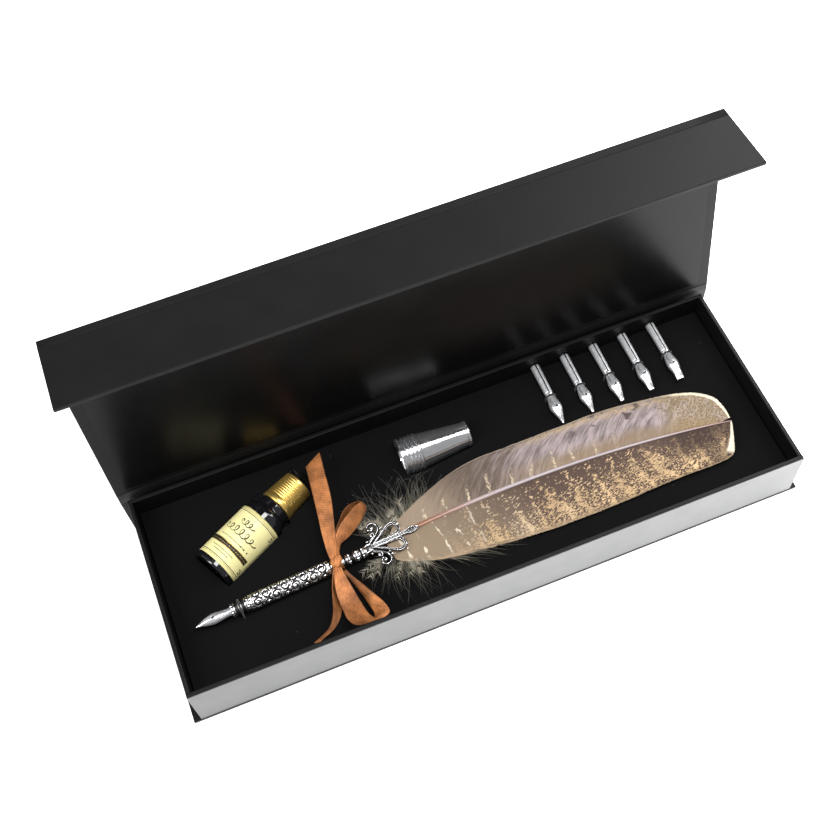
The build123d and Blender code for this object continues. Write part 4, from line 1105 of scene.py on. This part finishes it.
class QUILLBOX_OT_crest(bpy.types.Operator):
    """Make the crest of loops, scrolls and spear at the end of the pen"""
    bl_idname = "quillbox.crest"
    bl_label = "Crest"

    def execute(self, context):
        form = new_form()
        layer = form.verts.layers.float.new("relief")
        mid = CREST_MIDDLE

        def out(u, v, z=mid):
            return Vector((NECK_END + u, v, z))

        def tone(amount):
            for vert in form.verts:
                if not vert[layer]:
                    vert[layer] = amount

        for side in (1, -1):
            lean = radians(LOOP_LEAN) * side
            along = Vector((cos(lean), sin(lean), 0))
            wide = Vector((-sin(lean), cos(lean), 0))
            start = out(2.6, 0.65 * side)
            drop = [(0, 0), (3.4, 0.85), (7.2, 1.85), (10.4, 2.75), (12.4, 2.85), (14.2, 2.05), (15.0, 0),
                    (14.2, -2.05), (12.4, -2.85), (10.4, -2.75), (7.2, -1.85), (3.4, -0.85), (0, 0)]
            ring = [start + along * a + wide * b for a, b in drop]
            strand_of(form, ring, 0.72, 10, 72, 0.75)
            scroll = [(0.2, 1.0), (2.8, 2.6), (5.6, 4.4), (7.7, 6.4), (8.1, 8.8), (6.9, 10.5), (4.9, 10.8),
                      (3.6, 9.6), (3.7, 8.0), (4.9, 7.4), (5.8, 8.1)]
            strand_of(form, [out(a, b * side) for a, b in scroll],
                      lambda t: between([(0, 0.8), (0.5, 0.7), (0.9, 0.6), (1, 0.5)], t), 10, 64, 0.85)
            small = [(1.2, 1.4), (2.6, 3.2), (4.2, 4.0), (5.2, 5.2), (4.6, 6.1), (3.5, 5.7), (3.4, 4.8)]
            strand_of(form, [out(a, b * side, mid - 0.1) for a, b in small], 0.5, 8, 36, 0.9)
            tone(0.06)
            outer = [start + along * (a * 1.012) + wide * (b * 1.1) + UP * 0.55 for a, b in drop]
            strand_of(form, outer, 0.24, 6, 72)
            strand_of(form, [out(a, b * side, mid + 0.55) for a, b in scroll], 0.26, 6, 64)
            strand_of(form, [out(a, b * side, mid + 0.4) for a, b in small], 0.2, 6, 36)
            inner = Line([start + along * (0.9 + a * 0.90) + wide * (b * 0.80) + UP * 0.5 for a, b in drop])
            for i in range(46):
                bead_of(form, inner.at(i / 46), 0.27)
            bead_of(form, out(5.5, 8.5 * side), 0.9)
            bead_of(form, out(3.7, 5.0 * side), 0.7)
            for u, v, size in ((9.2, 7.0, 0.6), (10.4, 7.4, 0.45), (8.8, 5.4, 0.5), (17.6, 5.5, 0.55),
                               (16.7, 7.9, 0.5), (1.0, 3.2, 0.6)):
                bead_of(form, out(u, v * side), size)
            tone(1.0)
        spear = Line([out(-0.6, 0), out(8, 0, mid + 0.1), out(19, 0, mid + 0.1), out(26.2, 0, mid - 0.1)])
        width = [(0, 1.35), (0.12, 1.15), (0.5, 0.95), (0.74, 0.95), (0.82, 1.75), (0.9, 1.5), (1, 0.12)]
        sheet_of(form, 14, 80, lambda across, along: strand_point(
            spear, lambda t: between(width, t), across, along, 0.55 if along < 0.76 else 0.42))
        saddle = Line([out(-0.9, 0, 0.9), out(0.6, 0, 1.5), out(2.4, 0, 2.0)])
        sheet_of(form, 14, 10, lambda across, along: strand_point(saddle, 1.75, across, along, 0.9))
        tone(0.22)
        for side in (1, -1):
            rib = [spear.at(t) + Vector((0, side * between(width, t) * 0.72, 0.42)) for t in
                   (0.04, 0.12, 0.3, 0.5, 0.74, 0.82, 0.9, 0.985)]
            strand_of(form, rib, 0.16, 6, 60)
        for i in range(24):
            bead_of(form, spear.at(0.06 + 0.66 * i / 23) + UP * 0.5, 0.3)
        for i in range(6):
            bead_of(form, spear.at(0.79 + 0.15 * i / 5) + UP * 0.5, 0.27, 0.8)
        for turn in range(-2, 3):
            tip = out(-0.2 - 0.4 * abs(turn), turn * 0.75, mid - 0.5)
            strand_of(form, [out(2.2, turn * 0.5, mid + 0.2), out(1.0, turn * 0.85, mid + 0.55), tip], 0.4, 8, 10, 0.8)
        tone(1.0)
        close_up(form)
        for vert in form.verts:
            vert.co.z = max(CREST_LOW, min(CREST_HIGH, vert.co.z))
        cast(form, "scrolled_crest", "crest")
        return {"FINISHED"}


BLADE_END, SHANK_LENGTH = 17.3, 17.1


def nib_form(tip, body):
    """A pressed nib: half a tapering shell on a rolled shank, on one UV map."""
    form = new_form()
    outline = Line([(0, tip, 0), (2.2, tip + (2.2 - tip) * 0.34, 0), (5.0, tip * 0.2 + 1.75, 0), (8.8, body, 0),
                    (12.2, body * 0.86, 0), (15.6, 1.8, 0), (BLADE_END, 1.95, 0)])
    stations = {}

    def blade(across, along):
        if along not in stations:
            stations[along] = outline.at(along)
        u, radius = stations[along].x, stations[along].y
        turn = pi * across
        droop = ease(u, 4.0, 0.0) * 0.5
        return Vector((u, -radius * cos(turn), radius * sin(turn) * (1 - 0.35 * ease(u, 5, 0)) - droop))

    sheet_of(form, 22, 46, blade, (1.0, 0.49))

    def shank(across, along):
        u = BLADE_END + SHANK_LENGTH * along
        radius = 1.95 + 0.25 * along + 0.05 * exp(-((along - 0.5) / 0.02) ** 2)
        turn = radians(96 + 348 * across)
        return Vector((u, radius * cos(turn), radius * sin(turn)))

    made = sheet_of(form, 30, 24, shank)
    uv = form.loops.layers.uv.active
    for face in {face for vert in made for face in vert.link_faces}:
        for loop in face.loops:
            loop[uv].uv.y = 0.5 + loop[uv].uv.y * 0.5
    face_out(form)
    return form


FIRST_NIB, NIB_SPACING = 58.0, 15.85


class QUILLBOX_OT_nibs(bpy.types.Operator):
    """Make the pen's nib and the five spare nibs"""
    bl_idname = "quillbox.nibs"
    bl_label = "Nibs"

    def execute(self, context):
        steel = nib_steel(context.scene.quillbox_pen.steel_colour)
        piece(nib_form(0.16, 2.5), "pressed_pen_nib", steel, "pen_nib", PEN_PLACE, ["pen_nib"], 0.2)
        for i, tip in enumerate((0.2, 0.3, 0.75, 1.15, 1.8)):
            piece(nib_form(tip, 2.9), f"pressed_nib_{i + 1}", steel, f"nib_{i + 1}",
                  lying(FIRST_NIB + NIB_SPACING * i, 13.85, 25.0, 90), [f"spare_nib_{i + 1}"], 0.25)
        return {"FINISHED"}


class QUILLBOX_OT_stand(bpy.types.Operator):
    """Turn the polished pen stand with its rings and lips"""
    bl_idname = "quillbox.stand"
    bl_label = "Pen stand"

    def execute(self, context):
        outside = [(0.0, 8.6), (0.0, 9.4), (1.3, 9.4), (1.5, 8.75)]
        for i in range(4):
            start = 2.2 + 2.0 * i
            outside += [(start, 8.55), (start + 0.35, 9.1), (start + 1.0, 9.38), (start + 1.65, 9.1),
                        (start + 2.0, 8.55)]
        outside += [(10.9, 8.5), (16.0, 7.95), (22.0, 7.3), (28.0, 6.65), (33.7, 6.05), (33.95, 6.45), (35.2, 6.5)]
        inside = [(35.2, 5.25), (33.0, 5.15), (22.0, 6.35), (11.2, 7.6), (0.6, 7.65)]
        form = turned_form(soften(outside + inside, 0.22, True), 128, ring=True)
        face_out(form)
        piece(form, "turned_stand", polished_steel(context.scene.quillbox_pen.steel_colour), "stand",
              lying(-22.2, 27.1, 24.0, 0), ["pen_stand"])
        return {"FINISHED"}


# The ink bottle

BOTTLE_PLACE = lying(-123.6, 6.7, 22.5, 27.4)
LABEL_RADIUS = 11.12
LABEL_TURN = radians(4)
LABEL_FOOT, LABEL_HEIGHT = 2.9, 29.1
BORDER_LOW, BORDER_HIGH, BORDER_HALF, CORNER_INSET = 4.3, 30.6, 16.6, 2.4
CAP_RIBS, RIBS_FROM, RIBS_TO, RIB_DEPTH = 9, 45.8, 57.0, 0.42


def on_label(height, width, lift=0.0):
    """A point on the label by its height up the bottle and its way round, in millimetres."""
    turn = LABEL_TURN + width / LABEL_RADIUS
    radius = LABEL_RADIUS + lift
    return Vector((height, -radius * sin(turn), radius * cos(turn)))


def printed_line(form, points, width, lift=0.10, rows=40):
    """A printed line of one width on the label."""
    line = Line([(h, w, 0) for h, w in points], 8)

    def place(across, along):
        way = line.way(along)
        side = Vector((-way.y, way.x, 0))
        size = width(along) if callable(width) else width
        spot = line.at(along) + side * (across - 0.5) * size
        return on_label(spot.x, spot.y, lift)

    sheet_of(form, 1, rows, place)


def flourish(height, reach, size, loops):
    """A penman's row of loops, as points on the label."""
    steps = loops * 8
    return [(height + size * sin(i * pi / 4) * (0.55 + 0.45 * sin(pi * i / steps)),
             -reach + 2 * reach * i / steps + size * 0.75 * cos(i * pi / 4)) for i in range(steps + 1)]


class QUILLBOX_OT_bottle(bpy.types.Operator):
    """Make the ink bottle's glass, label, print, cap and liner"""
    bl_idname = "quillbox.bottle"
    bl_label = "Ink bottle"

    def execute(self, context):
        own = context.scene.quillbox_bottle
        dress("ink", still_ink())
        dress("cap_liner", soft_liner())
        glass = turned_form(soften([(0.5, 0.0), (0.7, 8.6), (0.0, 9.4), (0.15, 10.6), (1.2, 10.95), (35.0, 10.95),
                                    (36.6, 10.3), (37.6, 9.3), (38.6, 8.65), (42.0, 8.55), (42.1, 6.4), (55.9, 6.4),
                                    (55.9, 5.1), (38.6, 5.1), (35.6, 9.6), (1.4, 9.6), (1.4, 0.0)], 0.4), 96)
        close_up(glass)
        piece(glass, "bottle_form", dark_glass(), "bottle", BOTTLE_PLACE, ["bottle_glass"])
        paper = new_form()
        sheet_of(paper, 128, 20, lambda across, along: on_label(LABEL_FOOT + LABEL_HEIGHT * along,
                                                               (across - 0.5) * 2 * pi * LABEL_RADIUS))
        bmesh.ops.remove_doubles(paper, verts=paper.verts, dist=MERGE_DISTANCE)
        face_out(paper)
        piece(paper, "wrapped_label", label_paper(own.label_colour), "bottle", BOTTLE_PLACE,
              ["bottle_label"], 0.12)
        ink = new_form()
        low, high, half = BORDER_LOW, BORDER_HIGH, BORDER_HALF
        for inset, line in ((0.0, 0.12), (0.75, 0.3)):
            a, b, c = low + inset, high - inset, half - inset
            for ends in (((a, -c), (a, c)), ((b, -c), (b, c)), ((a, -c), (b, -c)), ((a, c), (b, c))):
                (h0, w0), (h1, w1) = ends
                printed_line(ink, [(h0 + (h1 - h0) * t, w0 + (w1 - w0) * t) for t in (0, 0.5, 1)], line)
        for h, up in ((low + CORNER_INSET, 1), (high - CORNER_INSET, -1)):
            for w, right in ((-half + CORNER_INSET, 1), (half - CORNER_INSET, -1)):
                for size in (1.0, 0.6):
                    printed_line(ink, [(h + up * size * (0.25 * i) * cos(i), w + right * size * 0.25 * i * sin(i))
                                       for i in range(1, 8)], 0.24)
        for height, reach, size, loops in ((25.2, 3.6, 1.5, 3), (20.2, 9.6, 1.9, 6)):
            printed_line(ink, flourish(height, reach, size, loops),
                         lambda t, n=loops: 0.22 + 0.4 * cos(pi * n * t) ** 2, 0.10, loops * 20)
        for h, reach in ((15.3, 7.5), (8.9, 6.5), (7.4, 4.5)):
            printed_line(ink, [(h + 0.16 * sin(i * 2.1), -reach + 2 * reach * i / 24) for i in range(25)], 0.22,
                         rows=90)
        for w in (5.2, 7.4, 9.6):
            printed_line(ink, [(15.2, w - 0.35), (15.2, w), (15.2, w + 0.35)], 0.7)
        printed_line(ink, [(11.9, -14.2), (11.9, 0), (11.9, 13.6)], 2.1, 0.09)
        face_out(ink)
        piece(ink, "label_print", label_ink(own.print_colour), "bottle",
              BOTTLE_PLACE, shell=0.02)
        gilt = new_form()
        for h in (10.72, 13.08):
            printed_line(gilt, [(h, -14.3), (h, 0), (h, 13.7)], 0.3, 0.12)
        for i in range(19):
            w = -12.6 + 25.2 * i / 18
            printed_line(gilt, [(11.65, w - 0.22), (12.15, w), (11.65, w + 0.22)], 0.14, 0.13, 8)
        face_out(gilt)
        piece(gilt, "label_gilding", cap_gold(own.gold_colour), "bottle", BOTTLE_PLACE, shell=0.02)
        self.cap(own)
        return {"FINISHED"}

    def cap(self, own):
        """The gold cap: a plain band, then ribs up to a rounded top."""
        outside = [(42.4, 6.82), (42.4, 8.5), (42.6, 8.7), (45.4, 8.58), (45.7, 8.2)]
        pitch = (RIBS_TO - RIBS_FROM) / CAP_RIBS
        for i in range(CAP_RIBS):
            radius = 8.55 - 0.65 * i / CAP_RIBS
            at = RIBS_FROM + i * pitch
            outside += [(at + 0.08, radius - RIB_DEPTH), (at + pitch * 0.30, radius), (at + pitch * 0.62, radius),
                        (at + pitch * 0.88, radius - RIB_DEPTH)]
        outside += [(57.15, 7.85), (57.9, 7.6), (58.25, 7.1), (58.4, 6.4), (58.4, 0.0)]
        inside = [(57.2, 0.0), (57.2, 6.82)]
        form = turned_form(outside + inside, 128, ring=True)
        close_up(form)
        piece(form, "ribbed_cap", cap_gold(own.gold_colour), "cap", BOTTLE_PLACE, ["cap_shell"])


# The ribbon

READ_HEIGHT = 27
SIGHT_X, SIGHT_Y = 0.045, 0.533
WALL_FACE = -48.3
KNOT_ALONG = 69.2


def seen(x, y, z):
    """Moves a point read at one height along the line of sight to the height it really has."""
    above = z - READ_HEIGHT
    return Vector((x - SIGHT_X * above, max(WALL_FACE, y - SIGHT_Y * above), max(CARD_TOP + 0.35, z)))


BANDS = {
    "back tail": (
        [(-69.6, -13.4, 31.4), (-71.2, -8.5, 31.8), (-70.6, 2.2, 32.2), (-69.3, 11.9, 32.4), (-67.6, 26.1, 32.3),
         (-66.2, 38.6, 31.9)],
        [(-67.9, -12.6, 31.5), (-66.0, -4.6, 31.6), (-62.6, 8.9, 31.9), (-60.1, 20.0, 32.0), (-58.6, 33.5, 32.0),
         (-57.4, 43.8, 31.8)]),
    "front loop": (
        [(-70.9, -14.5, 31.2), (-73.8, -25.8, 29.6), (-73.9, -34.6, 29.0), (-73.3, -40.8, 30.6), (-70.4, -44.4, 32.4),
         (-65.6, -44.9, 32.6), (-61.6, -43.4, 31.0), (-62.4, -36.9, 27.6), (-64.6, -28.3, 26.4), (-67.6, -18.5, 29.4)],
        [(-67.8, -15.6, 31.4), (-66.6, -25.0, 30.2), (-65.0, -35.4, 30.2), (-63.4, -42.0, 31.8), (-60.2, -45.2, 32.9),
         (-56.4, -45.1, 33.0), (-54.6, -43.2, 33.0), (-55.6, -38.6, 32.4), (-59.4, -31.2, 31.6), (-66.2, -18.0, 31.2)]),
    "front tail": (
        [(-70.8, -14.5, 31.0), (-74.6, -23.2, 30.6), (-76.9, -30.9, 30.0), (-79.0, -36.6, 30.4), (-82.8, -41.4, 31.6),
         (-91.0, -45.0, 32.8)],
        [(-69.6, -15.6, 29.4), (-72.9, -24.3, 25.0), (-73.6, -34.0, 25.6), (-75.9, -38.6, 27.8), (-80.3, -42.6, 29.8),
         (-88.0, -45.6, 32.4)]),
    "back loop": (
        [(-69.0, -12.4, 31.8), (-66.4, -3.2, 31.8), (-62.6, 2.8, 31.6), (-57.4, 6.9, 31.2), (-51.6, 10.4, 30.4),
         (-48.4, 11.4, 29.0), (-50.2, 12.2, 29.6), (-55.8, 11.3, 31.0), (-60.8, 6.3, 31.4), (-65.4, -0.5, 31.6),
         (-68.6, -10.5, 31.2)],
        [(-67.0, -13.2, 31.0), (-64.9, -6.1, 28.8), (-58.2, -3.0, 26.6), (-52.0, 1.0, 25.2), (-47.6, 5.2, 24.6),
         (-46.4, 8.0, 24.4), (-48.6, 9.0, 24.0), (-54.6, 4.6, 23.8), (-59.8, -0.6, 24.8), (-64.6, -6.6, 27.4),
         (-67.2, -12.0, 30.2)]),
}


class QUILLBOX_OT_ribbon(bpy.types.Operator):
    """Make the copper ribbon: its wrap, knot, two loops and two tails"""
    bl_idname = "quillbox.ribbon"
    bl_label = "Ribbon bow"

    def execute(self, context):
        own = context.scene.quillbox_ribbon
        form = new_form()
        for name, (left, right) in BANDS.items():
            one, two = Line([seen(*p) for p in left]), Line([seen(*p) for p in right])
            middle = (one.length + two.length) / 2
            depth = 0.15 if name == "back tail" else 0.35
            looped = "loop" in name

            def place(across, along, one=one, two=two, middle=middle, depth=depth, looped=looped):
                a, b = one.at(along), two.at(along)
                way = (one.way(along) + two.way(along)).normalized()
                lift = way.cross(b - a)
                lift = lift.normalized() if lift.length > 1e-6 else UP
                cup = depth * (1 - (2 * across - 1) ** 2) * min(1, (b - a).length / 6)
                from_knot = min(along, 1 - along if looped else 1) * middle
                pleat = 0.42 * cos(across * 7 * pi) * exp(-from_knot / 7)
                return a.lerp(b, across) + lift * (pleat - cup)

            sheet_of(form, 16, int(middle * 1.4), place, (own.width, middle))
        knot_place = PEN_PLACE @ Matrix.Translation((KNOT_ALONG, 0, 0))

        def wrap(across, along):
            turn = 2 * pi * along
            half = 2.35 + 0.25 * cos(2 * turn)
            radius = 3.15 + 0.18 * cos(across * 4 * pi) + 0.25 * ease(sin(turn), 0.3, 1)
            return knot_place @ Vector(((across - 0.5) * 2 * half, radius * cos(turn), radius * sin(turn)))

        sheet_of(form, 8, 48, wrap, (own.width, 20.0))

        def knot(across, along):
            turn = 2 * pi * along
            swell = sin(pi * (0.05 + 0.90 * across)) ** 0.8
            fold = 1 + 0.13 * cos(turn * 6 + across * 5) + 0.06 * cos(turn * 11 - across * 9)
            wide, deep, high = 3.5 * swell * fold, 2.9 * swell * fold, 1.6
            lean = (across - 0.5) * 6.6
            return knot_place @ Vector((wide * cos(turn) * 0.75 + lean * 0.15, lean + deep * 0.1 * cos(turn),
                                        4.15 + high * swell * sin(turn) * fold * 0.95))

        sheet_of(form, 18, 40, knot, (own.width, 16.0))
        bmesh.ops.remove_doubles(form, verts=form.verts, dist=MERGE_DISTANCE)
        bow = piece(form, "tied_ribbon", ribbon_satin(own.satin_colour), "pen",
                    replaces=["ribbon_bow"], shell=own.thickness)
        return {"FINISHED"}


# The stage, with the camera that was fitted to the photo

FLOOR_HALF, FLOOR_DROP = 4.0, 0.0002
GLOW_SLOPE, LEAST_GLOW, MOST_GLOW = 3.6, 0.3, 2.2
CAMERA_SPOT = (-0.09004, -0.23487, 0.54008)
CAMERA_RIGHT = Vector((0.92984, -0.36508, -0.04604))
CAMERA_AHEAD = Vector((0.14166, 0.47062, -0.87089))
CAMERA_LENS, CAMERA_SENSOR = 51.97, 36.0


class QUILLBOX_OT_stage(bpy.types.Operator):
    """Set out the pale floor, the soft lights and the camera"""
    bl_idname = "quillbox.stage"
    bl_label = "Stage"

    def execute(self, context):
        own = context.scene.quillbox_stage
        scene = context.scene
        floor_form = bmesh.new()
        bmesh.ops.create_grid(floor_form, x_segments=8, y_segments=8, size=FLOOR_HALF,
                              matrix=Matrix.Translation((0, 0, -FLOOR_DROP)))
        pale = Look("pale floor", Roughness=0.9, Emission_Color=(1, 1, 1, 1))
        x, _, _ = pale.parts(pale.place())
        pale.paint(pale.noise(8.0), (0.86, 0.86, 0.86), (0.9, 0.9, 0.9))
        glow = x * GLOW_SLOPE + own.floor_glow
        pale.give("Emission Strength", glow.sum("MAXIMUM", LEAST_GLOW).sum("MINIMUM", MOST_GLOW))
        add("floor", mesh_of(floor_form, "floor", pale.material))

        world = scene.world or bpy.data.worlds.new("room")
        scene.world = world
        world.use_nodes = True
        background = world.node_tree.nodes["Background"]
        background.inputs["Color"].default_value = (1, 1, 1, 1)
        background.inputs["Strength"].default_value = own.world_light
        for name, spot, aim, size, power in (
            ("overhead light", (0.15, -0.15, 1.15), (0.05, 0, 0.03), (0.7, 0.4), own.key_power * 0.75),
            ("left light", (-0.85, -0.05, 0.75), (0, 0, 0.02), (0.3, 0.9), own.key_power * 0.6),
            ("right light", (0.95, 0.15, 0.8), (0, 0, 0.02), (0.35, 0.9), own.key_power * 0.5),
            ("back light", (0.66, 0.62, 0.92), (0.1, 0.05, 0.1), (0.35, 0.45), own.key_power * 0.36),
        ):
            lamp = bpy.data.lights.new(name, "AREA")
            lamp.shape = "RECTANGLE"
            lamp.size, lamp.size_y = size
            lamp.energy = power
            holder = add(name, lamp)
            holder.location = spot
            holder.rotation_euler = (Vector(aim) - Vector(spot)).to_track_quat("-Z", "Y").to_euler()

        lens = bpy.data.cameras.new("camera")
        lens.lens = CAMERA_LENS
        lens.sensor_width = CAMERA_SENSOR
        lens.clip_start = 0.01
        camera = add("camera", lens)
        right, ahead = CAMERA_RIGHT.normalized(), CAMERA_AHEAD.normalized()
        rows = Matrix((right, (-ahead).cross(right), -ahead)).transposed()
        camera.matrix_world = Matrix.Translation(CAMERA_SPOT) @ rows.to_4x4()
        scene.camera = camera
        scene.view_settings.view_transform = "Standard"
        return {"FINISHED"}


STEPS = (QUILLBOX_OT_case, QUILLBOX_OT_creases, QUILLBOX_OT_feather, QUILLBOX_OT_down, QUILLBOX_OT_pen,
         QUILLBOX_OT_crest, QUILLBOX_OT_nibs, QUILLBOX_OT_stand, QUILLBOX_OT_bottle, QUILLBOX_OT_ribbon,
         QUILLBOX_OT_stage)
SETTINGS = {"quillbox_case": CaseSettings, "quillbox_feather": FeatherSettings, "quillbox_pen": PenSettings,
            "quillbox_ribbon": RibbonSettings, "quillbox_bottle": BottleSettings, "quillbox_stage": StageSettings}


class QUILLBOX_PT_panel(bpy.types.Panel):
    """Lists the steps that dress the quill box, with their settings"""
    bl_idname = "QUILLBOX_PT_panel"
    bl_label = "Quill pen gift box"
    bl_space_type = "VIEW_3D"
    bl_region_type = "UI"
    bl_category = "Quill Box"

    def draw(self, context):
        for step in STEPS:
            self.layout.operator(step.bl_idname)
        for name, group in SETTINGS.items():
            box = self.layout.box()
            for setting in group.__annotations__:
                box.prop(getattr(context.scene, name), setting)


def register():
    for name, group in SETTINGS.items():
        bpy.utils.register_class(group)
        setattr(bpy.types.Scene, name, PointerProperty(type=group))
    for step in STEPS:
        bpy.utils.register_class(step)
    bpy.utils.register_class(QUILLBOX_PT_panel)


def unregister():
    bpy.utils.unregister_class(QUILLBOX_PT_panel)
    for step in reversed(STEPS):
        bpy.utils.unregister_class(step)
    for name, group in SETTINGS.items():
        delattr(bpy.types.Scene, name)
        bpy.utils.unregister_class(group)


def main():
    """Dresses the whole model, step by step."""
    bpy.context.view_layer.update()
    register()
    for step in STEPS:
        group, name = step.bl_idname.split(".")
        getattr(getattr(bpy.ops, group), name)()


if __name__ == "__main__":
    main()
